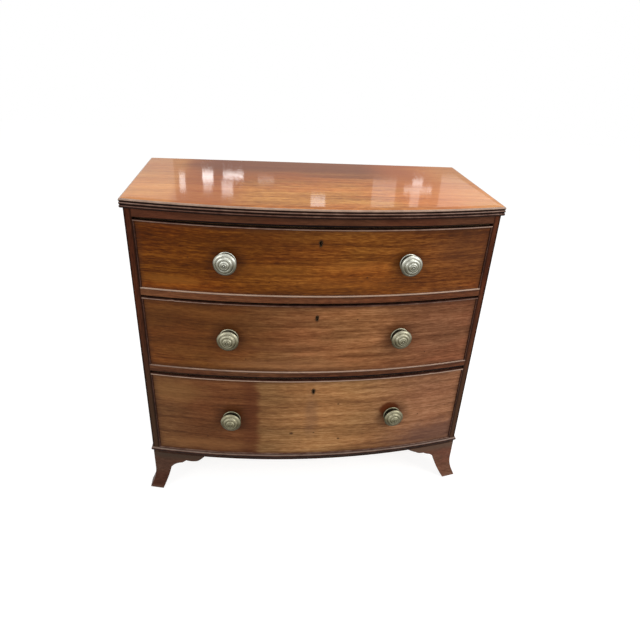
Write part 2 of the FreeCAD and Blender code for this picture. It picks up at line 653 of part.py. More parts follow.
def drawer(name):
    low, high = LEVELS[name]
    front_low = low + DRAWER_FOOT_GAP
    top = high - DRAWER_TOP_GAPS[name]
    side_low = low + DRAWER_RUN_GAP
    side_top = top - DRAWER_SIDE_DROP
    inner_x = DRAWER_HALF - DRAWER_SIDE
    panel_low = front_low + PANEL_RAISE
    panel_top = panel_low + PANEL_THICKNESS
    key_z = top - KEYHOLE_DROP
    knob_z = front_low + KNOB_HEIGHTS[name]
    knobs_x = (-KNOB_OFFSET, KNOB_OFFSET + (BOTTOM_RIGHT_KNOB_SHIFT if name == "bottom" else 0))

    # cock beads, and the rebates that they are glued in
    long_beads = []
    for bead_low in (front_low, top - COCK_THICKNESS):
        long_beads.append(turned_about_bow(cock_bead_section(bead_low), DRAWER_HALF))
    end_bead = end_cock_bead(front_low + COCK_THICKNESS, top - COCK_THICKNESS)
    rebate_core = bow_plate(DRAWER_HALF - COCK_THICKNESS, 0, BOW_RADIUS + MARGIN,
                            front_low + COCK_THICKNESS, top - COCK_THICKNESS)
    seat_core = bow_plate(DRAWER_HALF, 0, COCK_INNER, front_low, top)

    # bottom panel, its front edge bowed to its groove
    panel_half = inner_x + PANEL_SIDE_GROOVE
    panel = bow_plate(panel_half, DRAWER_BACK_Y, FRONT_INNER + PANEL_FRONT_GROOVE, panel_low, panel_top)

    # front: full thickness inside the rebates, sockets for the lapped tails
    front = bow_strip(-DRAWER_HALF, DRAWER_HALF, FRONT_INNER, BOW_RADIUS, front_low, top)
    front = front.common(rebate_core.fuse(seat_core))
    shoulder_y = bow_y(DRAWER_HALF, FRONT_INNER)
    lapped = tails(shoulder_y, shoulder_y - LAPPED_LENGTH, front_low + COCK_THICKNESS, side_top)
    front = front.cut(lapped + [mirrored(t) for t in lapped] + [panel])
    for x in knobs_x:
        front = front.cut(on_bow(shank_hole(), x, knob_z))
    lock_half = LOCK_WIDTH / 2
    front = front.cut(box(-lock_half, lock_half, LOCK_FRONT_Y, LOCK_BACK_Y + MARGIN, top - LOCK_HEIGHT, top))
    face_y = bow_y(0)
    front = front.cut(keyhole(0, face_y - OVERRUN, LOCK_FRONT_Y, key_z))
    front = front.cut(keyhole(THREAD_WALL, face_y - OVERRUN, face_y + THREAD_DEPTH, key_z))

    # back: through dovetails
    back = box(-DRAWER_HALF, DRAWER_HALF, DRAWER_BACK_Y - DRAWER_BACK, DRAWER_BACK_Y,
               panel_top, side_top - DRAWER_BACK_DROP)
    through = tails(DRAWER_BACK_Y - DRAWER_BACK, DRAWER_BACK_Y, panel_top, side_top - DRAWER_BACK_DROP)
    back = back.cut(through + [mirrored(t) for t in through])

    # sides: a plank less everything that it is joined to
    plank = box(inner_x, DRAWER_HALF, shoulder_y - LAPPED_LENGTH, DRAWER_BACK_Y, side_low, side_top)
    right_side = plank.cut([front, back, panel])
    notch_top = front_low + COCK_THICKNESS
    notch = box(inner_x, DRAWER_HALF, shoulder_y - MARGIN, shoulder_y, side_low, notch_top)
    right_side = right_side.cut(notch)

    # lock
    escutcheon = keyhole(THREAD_WALL, face_y - THREAD_PROUD, face_y + THREAD_DEPTH, key_z)
    escutcheon = escutcheon.cut(keyhole(0, face_y - OVERRUN, face_y + THREAD_DEPTH, key_z))

    pieces = {
        "front": front,
        "side_left": mirrored(right_side),
        "side_right": right_side,
        "back": back,
        "bottom": panel,
        "cock_beads": group(long_beads + [end_bead, mirrored(end_bead)]),
        "knobs": group([on_bow(knob(), x, knob_z) for x in knobs_x]),
        "knob_nuts": group([on_bow(knob_nut(), x, knob_z) for x in knobs_x]),
        "lock_case": lock_case_solid(top, key_z),
        "lock_bolt": bolt_solid(top),
        "escutcheon": escutcheon,
    }
    return {f"{name}_drawer_{piece}": shape for piece, shape in pieces.items()}


# ---- the whole chest ----------------------------------------------------------------------
def carcass():
    pieces = {"top_board": top_board()}
    pieces["side_right"] = side()
    pieces["side_left"] = mirrored(side())
    pieces["stile_right"] = stile()
    pieces["stile_left"] = mirrored(stile())
    for name, (z0, thickness) in RAILS.items():
        pieces[name] = rail(z0, thickness)
    for name, z0 in (("upper", UPPER_RAIL_Z), ("lower", LOWER_RAIL_Z)):
        pieces[f"{name}_dust_board"] = dust_board(z0)
        pieces[f"{name}_rail"] = pieces[f"{name}_rail"].cut(dust_board(z0))
    pieces["bottom_board"] = bow_plate(INNER_HALF, -BACK_THICKNESS, BOW_RADIUS, CARCASS_BASE, BOTTOM_TOP)
    back_rail_y = -BACK_THICKNESS - BACK_RAIL_DEPTH
    pieces["back_rail"] = box(-INNER_HALF, INNER_HALF, back_rail_y, -BACK_THICKNESS, FRIEZE_Z, TOP_UNDERSIDE)
    strips = [runner(UPPER_RAIL_Z), runner(LOWER_RAIL_Z), kicker()]
    pieces["runners_and_kickers"] = group(strips + [mirrored(s) for s in strips])
    pieces["drawer_stops"] = group(drawer_stops())
    pieces["back_boards"] = group(back_boards())
    pieces["base_bead"] = group(base_bead())
    pieces["front_foot_right_front"], pieces["front_foot_right_end"] = front_foot("right")
    front, end = front_foot("left")
    pieces["front_foot_left_front"], pieces["front_foot_left_end"] = mirrored(front), mirrored(end)
    pieces["rear_foot_right"] = group(rear_foot())
    pieces["rear_foot_left"] = group([mirrored(board) for board in rear_foot()])
    pieces["foot_blocks"] = group(foot_blocks())
    return pieces


nodes.update(carcass())
for drawer_name in LEVELS:
    nodes.update(drawer(drawer_name))

front_most = min(nodes[f"{drawer_name}_drawer_knobs"].optimalBoundingBox().YMin for drawer_name in LEVELS)
to_origin = vec(0, -front_most / 2, 0)

os.makedirs("parts", exist_ok=True)
for node_name, shape in nodes.items():
    shape.translate(to_origin)
    shape.exportStep(f"parts/{node_name}.step")
    volume = shape.Volume / 1000
    print(f"{node_name}: {len(shape.Solids)} solid(s), {volume:.1f} cm3, valid {shape.isValid()}")
print(f"height {HEIGHT:.1f}, bow radius {BOW_RADIUS:.1f}, front most {front_most:.2f}, nodes {len(nodes)}")
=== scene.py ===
# %% [markdown]
# # A bow front chest of drawers
#
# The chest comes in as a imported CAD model, the frame. Every board, lining, lock and nut is in
# its place already, in metres, so this lesson is about looks: the mouldings that catch the
# light, the turned brass, the nails and screws, and above all the polished mahogany.

# %% Load the frame
import math

import bpy
import numpy as np
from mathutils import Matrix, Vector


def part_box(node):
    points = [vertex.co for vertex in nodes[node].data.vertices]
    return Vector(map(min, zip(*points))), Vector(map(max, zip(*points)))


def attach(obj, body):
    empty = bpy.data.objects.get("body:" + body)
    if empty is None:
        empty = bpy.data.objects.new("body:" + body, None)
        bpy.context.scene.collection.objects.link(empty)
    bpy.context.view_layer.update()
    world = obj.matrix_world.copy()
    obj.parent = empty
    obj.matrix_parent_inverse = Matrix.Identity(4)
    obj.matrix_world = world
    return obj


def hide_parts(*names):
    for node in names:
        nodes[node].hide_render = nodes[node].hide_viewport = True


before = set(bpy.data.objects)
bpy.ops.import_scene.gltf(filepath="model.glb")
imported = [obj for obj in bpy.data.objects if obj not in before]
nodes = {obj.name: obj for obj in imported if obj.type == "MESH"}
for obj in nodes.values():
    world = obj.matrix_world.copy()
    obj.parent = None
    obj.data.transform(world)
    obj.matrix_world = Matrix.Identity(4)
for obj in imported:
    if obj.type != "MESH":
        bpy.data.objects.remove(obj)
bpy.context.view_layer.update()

scene = bpy.context.scene

# %% [markdown]
# The front of the chest is one large arc in plan. Three points settle it: the middle of a rail
# and the inner edges of the two corner posts. With half the chord c and the rise d, the radius
# is (c² + d²) / 2d. Everything that lies on the front is worked out from this one arc, so that
# each moulding sits on the board behind it.

# %% Sizes read from the frame
MM = 0.001
side_low, side_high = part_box("side_right")
post_low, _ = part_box("stile_right")
rail_low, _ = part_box("lower_rail")
top_low, top_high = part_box("top_board")

HALF = side_high.x                  # half the width of the carcass
INNER_HALF = side_low.x             # to the inner face of a side
BACK_Y = side_high.y
rise = post_low.y - rail_low.y
BOW_RADIUS = (INNER_HALF**2 + rise**2) / (2 * rise)
BOW_CENTRE_Y = rail_low.y + BOW_RADIUS


def bow_y(x, outside=0.0):
    """Depth of the arc that runs at a distance outside the bow: centre - sqrt(radius² - x²)."""
    return BOW_CENTRE_Y - np.sqrt((BOW_RADIUS + outside) ** 2 - np.asarray(x) ** 2)


print(f"bow radius {BOW_RADIUS:.3f} m, front corner at y = {float(bow_y(HALF)):.4f} m")

# %% [markdown]
# ## Camera and studio
#
# A standing person took in the chest from a little left of its middle, looking down. The camera
# stands there and keeps its small shift, which is how far the picture's centre lies from the
# lens axis.

# %% Camera
CAMERA_PLACE = (-0.1379, -1.4144, 1.2300)
CAMERA_TURN = (61.505, -3.193, -6.368)       # degrees about X, Y and Z
FOCAL_LENGTH = 0.84468                       # as a share of the picture's width
SENSOR_WIDTH = 36.0
CAMERA_SHIFT = (-0.0146, 0.0039)

camera_data = bpy.data.cameras.new("camera")
camera_data.sensor_width = SENSOR_WIDTH
camera_data.lens = SENSOR_WIDTH * FOCAL_LENGTH
camera_data.shift_x, camera_data.shift_y = CAMERA_SHIFT
camera = bpy.data.objects.new("camera", camera_data)
camera.location = CAMERA_PLACE
camera.rotation_euler = [math.radians(angle) for angle in CAMERA_TURN]
scene.collection.objects.link(camera)
scene.camera = camera
print(f"lens {camera_data.lens:.2f} mm")

# %% [markdown]
# Shader nodes are made so often that a few small helpers pay for themselves at once. One fills a
# node's inputs and one adds a node; the others do sums, mix colours and draw soft steps. A socket
# knows the tree that it is in, so a helper that is given one adds its node to the same tree.

# %% Node helpers
def fill(node, inputs):
    """Fills a node's inputs, by name or by number.

    A value is a number, a colour (always opaque), a socket, or a node, which stands for its
    first output.
    """
    for key, value in dict(inputs).items():
        socket = node.inputs[key]
        if isinstance(value, bpy.types.Node):
            value = value.outputs[0]
        if isinstance(value, bpy.types.NodeSocket):
            node.id_data.links.new(value, socket)
        elif socket.type == "RGBA":
            socket.default_value = (*value, 1.0)
        else:
            socket.default_value = value


def add(tree, kind, inputs=(), **settings):
    """One shader node of a kind, such as Math: its settings first, then its inputs."""
    made = tree.nodes.new(f"ShaderNode{kind}")
    for name, value in settings.items():
        setattr(made, name, value)
    fill(made, inputs)
    return made


def sums(operation, *values):
    """A sum such as ADD or SQRT; at least one of its values is a socket or a node."""
    tree = next(value.id_data for value in values if hasattr(value, "id_data"))
    return add(tree, "Math", dict(enumerate(values)), operation=operation)


def plus(first, second):
    return sums("ADD", first, second)


def minus(first, second):
    return sums("SUBTRACT", first, second)


def times(first, second):
    return sums("MULTIPLY", first, second)


def axes(vector):
    """A vector's x, y and z."""
    return add(vector.id_data, "SeparateXYZ", {0: vector}).outputs


def eased(value, start, end, low=0.0, high=1.0):
    """A soft step from low at start to high at end, 3t² - 2t³ between them."""
    inputs = {0: value, 1: start, 2: end, 3: low, 4: high}
    return add(value.id_data, "MapRange", inputs, interpolation_type="SMOOTHSTEP")


def zone(value, start, end):
    """What lies between two soft steps: their product."""
    return times(eased(value, *start), eased(value, *end))


print("number helpers ready")

# %% Colour helpers
def mixed(share, first, second, how="MIX"):
    """Two colours, mixed by a share; how is the blending mode."""
    inputs = {0: share, 6: first, 7: second}
    return add(first.id_data, "Mix", inputs, data_type="RGBA", blend_type=how).outputs[2]


def tinted(colour, tint):
    """A colour times another, channel by channel."""
    return mixed(1.0, colour, tint, "MULTIPLY")


def dimmed(colour, light):
    """A colour times a number."""
    return tinted(colour, add(colour.id_data, "CombineColor", {0: light, 1: light, 2: light}))


def washed(colour, value, tone, *step):
    """A colour under a wash of another tone; a soft step on the value says how much of it."""
    return mixed(eased(value, *step), colour, tone)


def ramp(value, stops):
    """Colours along a scale from 0 to 1: stops are (place, colour)."""
    made = add(value.id_data, "ValToRGB", {0: value})
    elements = made.color_ramp.elements
    while len(elements) < len(stops):
        elements.new(0.5)
    for element, (place, colour) in zip(elements, stops):
        element.position = place
        element.color = (*colour, 1.0)
    return made


def run_through(share, heights, most):
    """A number that runs through five heights, none above most, while the share goes from 0 to 1."""
    greys = ramp(share, [(0.25 * i, (height / most,) * 3) for i, height in enumerate(heights)])
    return times(add(share.id_data, "SeparateColor", {0: greys}), most)


print("colour helpers ready")

# %% [markdown]
# The room is a pale floor under an even white surround. Seen directly, or in a reflection, the
# floor and the surround are plain white; the light that they give the chest is weaker, so the
# wood keeps its own colour and a soft shadow stays under the feet.

# %% Surround and floor
WHITE = (1.0, 1.0, 1.0)
SURROUND_LIGHT = 0.45
FLOOR_COLOUR = (0.80, 0.79, 0.78)
FLOOR_GLOW = 0.86                   # what the floor shows of itself, against white
FLOOR_SHADOW = 0.38                 # how much of the light that falls on it shows as well
FLOOR_SIZE = 12.0


def seen_directly(tree):
    """1 for rays from the camera, a mirror or glass, 0 for the light that falls on the chest."""
    rays = add(tree, "LightPath").outputs
    straight = sums("MAXIMUM", rays["Is Camera Ray"], rays["Is Glossy Ray"])
    return sums("MAXIMUM", straight, rays["Is Transmission Ray"])


world = bpy.data.worlds.new("studio")
world.use_nodes = True
scene.world = world
sky = world.node_tree
sky.nodes.clear()
dim = add(sky, "Background", {"Color": WHITE, "Strength": SURROUND_LIGHT})
bright = add(sky, "Background", {"Color": WHITE, "Strength": 1.0})
either = add(sky, "MixShader", {0: seen_directly(sky), 1: dim, 2: bright})
add(sky, "OutputWorld", {0: either})

paper = bpy.data.materials.new("studio_paper")
paper.use_nodes = True
sheet = paper.node_tree
sheet.nodes.clear()
lit = add(sheet, "BsdfDiffuse", {"Color": FLOOR_COLOUR})
glow = add(sheet, "Emission", {"Color": WHITE, "Strength": FLOOR_GLOW})
faint = add(sheet, "MixShader", {0: FLOOR_SHADOW, 2: lit})
pale = add(sheet, "AddShader", {0: faint, 1: glow})
both = add(sheet, "MixShader", {0: seen_directly(sheet), 1: lit, 2: pale})
add(sheet, "OutputMaterial", {0: both})

floor_mesh = bpy.data.meshes.new("floor")
half_floor = FLOOR_SIZE / 2
corners = [(x * half_floor, y * half_floor, 0.0) for x, y in ((-1, -1), (1, -1), (1, 1), (-1, 1))]
floor_mesh.from_pydata(corners, [], [(0, 1, 2, 3)])
floor_mesh.materials.append(paper)
floor = bpy.data.objects.new("floor", floor_mesh)
scene.collection.objects.link(floor)
scene.view_settings.view_transform = "Standard"
print(f"floor {FLOOR_SIZE:.0f} m square")

# %% [markdown]
# Three broad lamps light the chest, the right one stronger than the left. Behind it stand low
# panels of light, as windows do in a showroom. They hardly light the chest, but the polished top
# is seen at a flat angle and mirrors them, which is what tells the eye that it is polished.

# %% Lamps
LAMPS = {  # place, point looked at, width and height in metres, watts
    "overhead": ((0.3, 0.2, 2.9), (0.0, 0.0, 0.6), (2.8, 1.4), 46.0),
    "left": ((-2.4, -2.1, 2.0), (-0.1, 0.0, 0.4), (1.4, 1.4), 30.0),
    "right": ((2.5, -1.9, 2.1), (0.1, 0.0, 0.4), (1.4, 1.4), 50.0),
}
WINDOW_Y = 3.0
WINDOWS = {  # middle across and up, width and height in metres, brightness against white
    "slit": ((-0.76, 1.65), (0.045, 0.13), 5.0),
    "pane": ((-0.56, 1.60), (0.085, 0.08), 9.5),
    "pane_above": ((-0.565, 1.685), (0.07, 0.06), 3.0),
    "bright_strip": ((-0.36, 1.585), (0.16, 0.022), 17.0),
    "tall_pane": ((-0.41, 1.69), (0.09, 0.11), 4.0),
    "far_glint": ((-0.10, 1.615), (0.13, 0.03), 2.2),
    "low_pane": ((0.33, 1.80), (0.12, 0.13), 3.8),
    "far_pane": ((1.15, 1.76), (0.08, 0.16), 1.8),
    "far_pane_below": ((1.16, 1.60), (0.09, 0.035), 7.0),
    "sill": ((1.17, 1.665), (0.24, 0.035), 4.5),
    "left_wall": ((-1.20, 1.65), (0.76, 0.80), 0.7),
    "middle_wall": ((0.88, 1.72), (0.20, 0.26), 1.2),
    "right_wall": ((1.85, 1.75), (0.98, 0.42), 1.2),
}


def hang_lamp(name, place, target, size, watts, watched=True):
    """A rectangular lamp, turned so that its -Z axis runs to the target."""
    light = bpy.data.lights.new(f"lamp_{name}", "AREA")
    light.shape = "RECTANGLE"
    light.size, light.size_y = size
    light.energy = watts
    lamp = bpy.data.objects.new(f"lamp_{name}", light)
    lamp.location = place
    way = np.subtract(target, place)
    tilt = math.atan2(math.hypot(way[0], way[1]), -way[2])
    lamp.rotation_euler = (tilt, 0.0, math.atan2(way[1], way[0]) - math.pi / 2)
    lamp.visible_camera = watched
    scene.collection.objects.link(lamp)


for name, (place, target, size, watts) in LAMPS.items():
    hang_lamp(name, place, target, size, watts)
for name, ((x, z), size, brightness) in WINDOWS.items():
    watts = brightness * math.pi * size[0] * size[1]
    hang_lamp(name, (x, WINDOW_Y, z), (x, 0.0, z), size, watts, watched=False)
print(f"{len(LAMPS)} lamps and {len(WINDOWS)} windows")

# %% [markdown]
# ## Wood
#
# Old mahogany is built up in layers, and so is its material. Broad bands run the length of the
# board, with thinner streaks and short flecks in them; a soft cross figure breaks them into
# patches of light and dark; fine dark pores give the close texture; and boards are darker along
# their edges, and stained. Each layer is a noise in the object's own coordinates, squeezed across
# the grain and stretched along it. The pores and streaks also make the bump, so that gloss breaks
# up along the grain.

# %% Wood helpers
VENEER = "xy"    # a veneer's grain runs along x and follows the bow, so its depth, y, hardly counts
BLUSH_TINT = (1.05, 0.88, 0.86)
PORE_SHADE = 0.3                    # how dark a pore is, against the wood's dark tone
VENEER_RISE = 0.024                 # how far a veneer's grain wanders up and down


def noise(place, along, across, shift, grain="x", detail=3.0, roughness=0.5, distortion=0.0):
    """Noise that repeats `along` times a metre with the grain, and `across` times over it."""
    scale = [along if axis in grain else across for axis in "xyz"]
    inputs = {"Vector": place, "Location": (shift, shift * 0.7, shift * 1.3), "Scale": scale}
    squeezed = add(place.id_data, "Mapping", inputs)
    texture = {"Scale": 1.0, "Detail": detail, "Roughness": roughness, "Distortion": distortion}
    return add(place.id_data, "TexNoise", {"Vector": squeezed, **texture})


def wandering(place, along, across, shift, size):
    """A length that wanders by half of size either way, to make an edge uneven."""
    return times(minus(noise(place, along, across, shift, roughness=0.6), 0.5), size)


def bumped(height, strength, distance):
    """The direction of a surface that a height raises by up to the distance."""
    inputs = {"Strength": strength, "Distance": distance, "Height": height}
    return add(height.id_data, "Bump", inputs)


def new_material(name):
    """A material with an empty tree but for its shader and output."""
    made = bpy.data.materials.new(name)
    made.use_nodes = True
    made.node_tree.nodes.clear()
    shader = add(made.node_tree, "BsdfPrincipled")
    add(made.node_tree, "OutputMaterial", {0: shader})
    return made, made.node_tree, shader


def grain_colour(place, tones, grain, shift, bands, contrast, figure, pores, blush):
    """Colour of a board from its dark, middle and light tones, with the pores and streaks apart."""
    if grain == VENEER:
        rise = wandering(place, 1.6, 3.5, shift + 4.0, VENEER_RISE)
        rise = add(place.id_data, "CombineXYZ", {2: rise})
        place = add(place.id_data, "VectorMath", {0: place, 1: rise}, operation="ADD").outputs[0]

    def layer(along, across, offset, *texture):    # texture is detail, roughness, distortion
        return noise(place, along, across, shift + offset, grain, *texture)

    band = layer(*bands, 0.0, 3.0, 0.55, 0.1)
    streak = layer(7.0, 3.6 * bands[1], 5.0, 3.0, 0.6)
    fleck = layer(45.0, 6.0 * bands[1], 7.0, 2.0, 0.65)
    pore = layer(85.0, 1500.0, 9.0, 1.0)
    patch = layer(4.5, 22.0, 2.0, 3.0, 0.5, 0.3)
    cloud = layer(3.5, 10.0, 3.0, 3.0, 0.55, 0.2)
    wander = 0.5
    for part, weight in ((band, 0.75), (streak, 0.6), (fleck, 0.9)):
        wander = sums("MULTIPLY_ADD", minus(part, 0.5), weight, wander)
    colour = ramp(wander, [(0.5 - contrast, tones[0]), (0.5, tones[1]), (0.5 + contrast, tones[2])])
    colour = dimmed(colour, eased(patch, 0.3, 0.7, 1.0 - figure, 1.0 + figure))
    colour = mixed(eased(cloud, 0.42, 0.62, 0.0, blush), colour, tinted(colour, BLUSH_TINT))
    pore_mask = eased(pore, 0.60, 0.74, 0.0, pores)
    colour = mixed(pore_mask, colour, [PORE_SHADE * channel for channel in tones[0]])
    return colour, pore_mask, streak


print("wood helpers ready")

# %% [markdown]
# One function makes every wood, so that boards differ only in tones, scale and polish. A board may
# be faced with a finer wood than its core. Then its material looks at the surface's direction:
# what looks forwards shows the face, and the rest shows the core.

# %% One wood
CORE_GRAIN = ((1.2, 45.0), 0.2, 0.08, 0.1, 0.2)    # bands, contrast, figure, pores, blush
GRAIN_RELIEF = 0.15 * MM
COAT_RELIEF = 0.10 * MM
COAT_ROUGHNESS = 0.05
FACE_STEP = (-0.6, -0.4)            # y of the normal, from a surface that looks forwards


def wood(name, tones, grain="x", shift=0.0, bands=(1.2, 50.0), contrast=0.26, figure=0.10, pores=0.4,
         shine=0.06, gloss=0.42, coat=0.0, relief=0.5, blush=1.0, paint=None, core=None):
    """A board of one wood.

    bands are how often the broad bands repeat along and across the grain; shine is the level of
    its own reflection, gloss its roughness, and coat the share of polish over it;
    paint(place, colour) may lay stains over the colour; core gives the tones of the plain wood
    that a faced board shows wherever its surface doesn't look forwards.
    """
    made, tree, shader = new_material(name)
    coordinates = add(tree, "TexCoord").outputs
    place = coordinates["Object"]
    texture = (grain, shift, bands, contrast, figure, pores, blush)
    colour, pore_mask, streak = grain_colour(place, tones, *texture)
    if paint:
        colour = paint(place, colour)
    if core:
        plain, _, _ = grain_colour(place, core, "x", shift + 20.0, *CORE_GRAIN)
        colour = washed(colour, axes(coordinates["Normal"])[1], plain, *FACE_STEP)
    height = sums("MULTIPLY_ADD", streak, 0.5, times(pore_mask, -1.0))
    fill(shader, {
        "Base Color": colour,
        "Roughness": eased(streak, 0.25, 0.75, gloss - 0.06, gloss + 0.08),
        "Normal": bumped(height, relief, GRAIN_RELIEF),
        "Specular IOR Level": shine,
    })
    if coat:
        ripple = noise(place, 12.0, 150.0, shift + 13.0, grain, roughness=0.6)
        wave = bumped(ripple, 0.4, COAT_RELIEF)
        fill(shader, {"Coat Normal": wave, "Coat Weight": coat, "Coat Roughness": COAT_ROUGHNESS})
    return made


print("wood() ready")

# %% [markdown]
# ## The drawer fronts
#
# The three fronts were cut from different boards. The top one is a dark orange brown, the middle
# one redder, and the bottom one has paled to tan but for an old dark patch on its left. Each is
# darker towards its ends, most on the left, and brightest just right of the middle: partly its own
# tone and partly painted light and shade, as from the stronger lamp on the right. Each is darker
# along every edge, and painted shade lies round each knob. A few dents and ink spots finish them.

# %% Marks on a front
EDGE_DARK = (0.040, 0.014, 0.007)
EDGE_LINE = (EDGE_DARK, 3.2 * MM, 5.2 * MM, 0.85, 0.0)      # the dark line by the beads, as a wash
EDGE_SHADE = (EDGE_DARK, 2.0 * MM, 20.0 * MM, 0.5, 0.0)     # the broader shade behind it


def stained(place, colour, centre, radii, soft, strength, stain):
    """A stain in an upright ellipse on the front, over a soft uneven edge.

    The distance is sqrt((dx / a)² + (dz / b)²), so the edge lies where it is 1.
    """
    x, _, z = axes(place)
    across = sums("DIVIDE", minus(x, centre[0]), radii[0])
    up = sums("DIVIDE", minus(z, centre[1]), radii[1])
    distance = sums("SQRT", plus(times(across, across), times(up, up)))
    distance = plus(distance, wandering(place, 30.0, 70.0, 3.0, 2 * soft))
    inside = eased(distance, 1.0 - soft, 1.0 + soft, 1.0, 0.0)
    return mixed(times(inside, strength), colour, stain)


def edge_darkening(place, colour, low, high):
    """Darkens a front towards its four edges."""
    x, _, z = axes(place)
    from_end = minus(high.x, sums("ABSOLUTE", x))
    nearest = sums("MINIMUM", from_end, sums("MINIMUM", minus(z, low.z), minus(high.z, z)))
    line = plus(nearest, wandering(place, 25.0, 40.0, 14.0, 2 * MM))
    colour = washed(colour, line, *EDGE_LINE)
    nearest = plus(nearest, wandering(place, 9.0, 40.0, 4.0, 16 * MM))
    return washed(colour, nearest, *EDGE_SHADE)


print("marks ready")

# %% Looks of the drawer fronts
DRAWERS = ("top", "middle", "bottom")
FRONT_TONES = {
    "top": ((0.072, 0.019, 0.003), (0.158, 0.047, 0.006), (0.302, 0.110, 0.017)),
    "middle": ((0.102, 0.036, 0.011), (0.200, 0.083, 0.030), (0.322, 0.150, 0.060)),
    "bottom": ((0.150, 0.064, 0.023), (0.270, 0.128, 0.046), (0.410, 0.220, 0.090)),
}
FRONT_CONTRAST = {"top": 0.25, "middle": 0.30, "bottom": 0.28}    # half the noise's range, dark to light
FRONT_BLUSH = {"top": 0.8, "middle": 0.7, "bottom": 0.3}
# Partly each board's own tone and partly painted light and shade: darker towards the ends, most on the left,
# and brightest just right of the middle, as lit more from the right.
FRONT_LIGHT_AND_SHADE = {  # brightness at five places from the left end to the right
    "top": (0.70, 0.80, 1.12, 1.13, 0.80),
    "middle": (0.66, 0.74, 1.10, 1.17, 0.90),
    "bottom": (0.69, 0.74, 1.09, 1.05, 0.91),
}
FRONT_SLOPE = {"top": (1.12, 0.84), "middle": (0.98, 1.00), "bottom": (1.00, 0.98)}    # foot, head
FRONT_RUDDY = {"top": (1.00, 0.83, 0.42), "middle": (1.00, 0.76, 0.33), "bottom": WHITE}
FRONT_MAUVE = {"top": (0.99, 0.93, 1.28), "middle": (1.02, 0.95, 1.14), "bottom": (0.98, 0.89, 1.14)}
RUDDY_STEP = (-0.30, 0.00, 0.8, 0.0)           # the left half is ruddy,
MAUVE_STEP = (0.08, 0.34)                      # and the right end mauve
PATCH_START = (-0.42, -0.30, 0.6, 1.0)         # the bottom front's dark patch gathers strength,
PATCH_END = (-0.165, -0.140, 1.0, 0.0)         # and stops short
PATCH_TINT = (0.65, 0.47, 0.42)
PATCH_RIM_STEP = (-0.21, -0.175, 0.0, 0.5)
PATCH_RIM = (0.085, 0.022, 0.008)
KNOB_SHADE_HALO = ((0.042, 0.040), 0.45, 0.55, (0.055, 0.016, 0.005))    # painted shade round each knob; as STAINS, but for the centre
KEYHOLE_WEAR = ((0.0052, 0.0095), 0.5, 0.80, (0.012, 0.005, 0.003))
STAINS = {  # centre, radii, softness, strength, colour
    "top": [
        ((0.38, 0.765), (0.10, 0.05), 0.5, 0.35, (0.090, 0.032, 0.014)),
        ((-0.08, 0.794), (0.11, 0.022), 0.6, 0.35, (0.085, 0.024, 0.004)),
        ((-0.355, 0.680), (0.075, 0.012), 0.6, 0.42, (0.330, 0.118, 0.016)),
        ((-0.12, 0.719), (0.08, 0.012), 0.6, 0.35, (0.250, 0.088, 0.012)),
        ((0.09, 0.731), (0.07, 0.014), 0.6, 0.30, (0.300, 0.106, 0.020)),
        ((0.07, 0.685), (0.12, 0.014), 0.6, 0.22, (0.260, 0.088, 0.017)),
    ],
    "middle": [
        ((-0.30, 0.56), (0.16, 0.09), 0.5, 0.30, (0.070, 0.022, 0.006)),
        ((-0.05, 0.452), (0.18, 0.014), 0.6, 0.30, (0.310, 0.140, 0.060)),
        ((-0.10, 0.500), (0.08, 0.008), 0.6, 0.35, (0.110, 0.038, 0.014)),
    ],
    "bottom": [
        ((0.219, 0.290), (0.027, 0.025), 0.22, 0.92, (0.085, 0.019, 0.005)),
        ((-0.004, 0.285), (0.018, 0.060), 0.6, 0.35, (0.110, 0.055, 0.036)),
        ((0.40, 0.180), (0.15, 0.040), 0.6, 0.62, (0.090, 0.043, 0.034)),
        ((-0.37, 0.355), (0.07, 0.035), 0.6, 0.40, (0.260, 0.125, 0.040)),
        ((-0.30, 0.178), (0.12, 0.020), 0.6, 0.35, (0.270, 0.125, 0.045)),
    ],
}
DENTS = {  # centre in metres and radius in millimetres
    "top": [((-0.31, 0.742), 1.6), ((0.118, 0.702), 1.5), ((-0.12, 0.688), 1.2)],
    "middle": [((0.104, 0.586), 1.8), ((-0.18, 0.468), 1.4), ((0.30, 0.475), 1.6)],
    "bottom": [((-0.057, 0.223), 4.0), ((0.071, 0.322), 2.2), ((0.078, 0.199), 2.6), ((0.006, 0.225), 1.8),
               ((0.31, 0.262), 1.6), ((-0.29, 0.205), 1.5)],
}
DENT_WIDTH = 1.4                               # times its height
DENT_INK = (0.5, 0.8, (0.030, 0.010, 0.005))   # softness, strength, colour
print(f"{sum(map(len, STAINS.values()))} stains and {sum(map(len, DENTS.values()))} dents")

# %% Drawer fronts
KNOB_REACH = 28.7 * MM              # from a knob's middle to the end of the pair's box
PINE_TONES = ((0.230, 0.130, 0.060), (0.370, 0.235, 0.120), (0.480, 0.330, 0.180))


def knob_places(drawer):
    """Middles of a drawer's two knobs, as (x, z)."""
    low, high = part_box(f"{drawer}_drawer_knobs")
    return [(edge - math.copysign(KNOB_REACH, edge), (low.z + high.z) / 2) for edge in (low.x, high.x)]


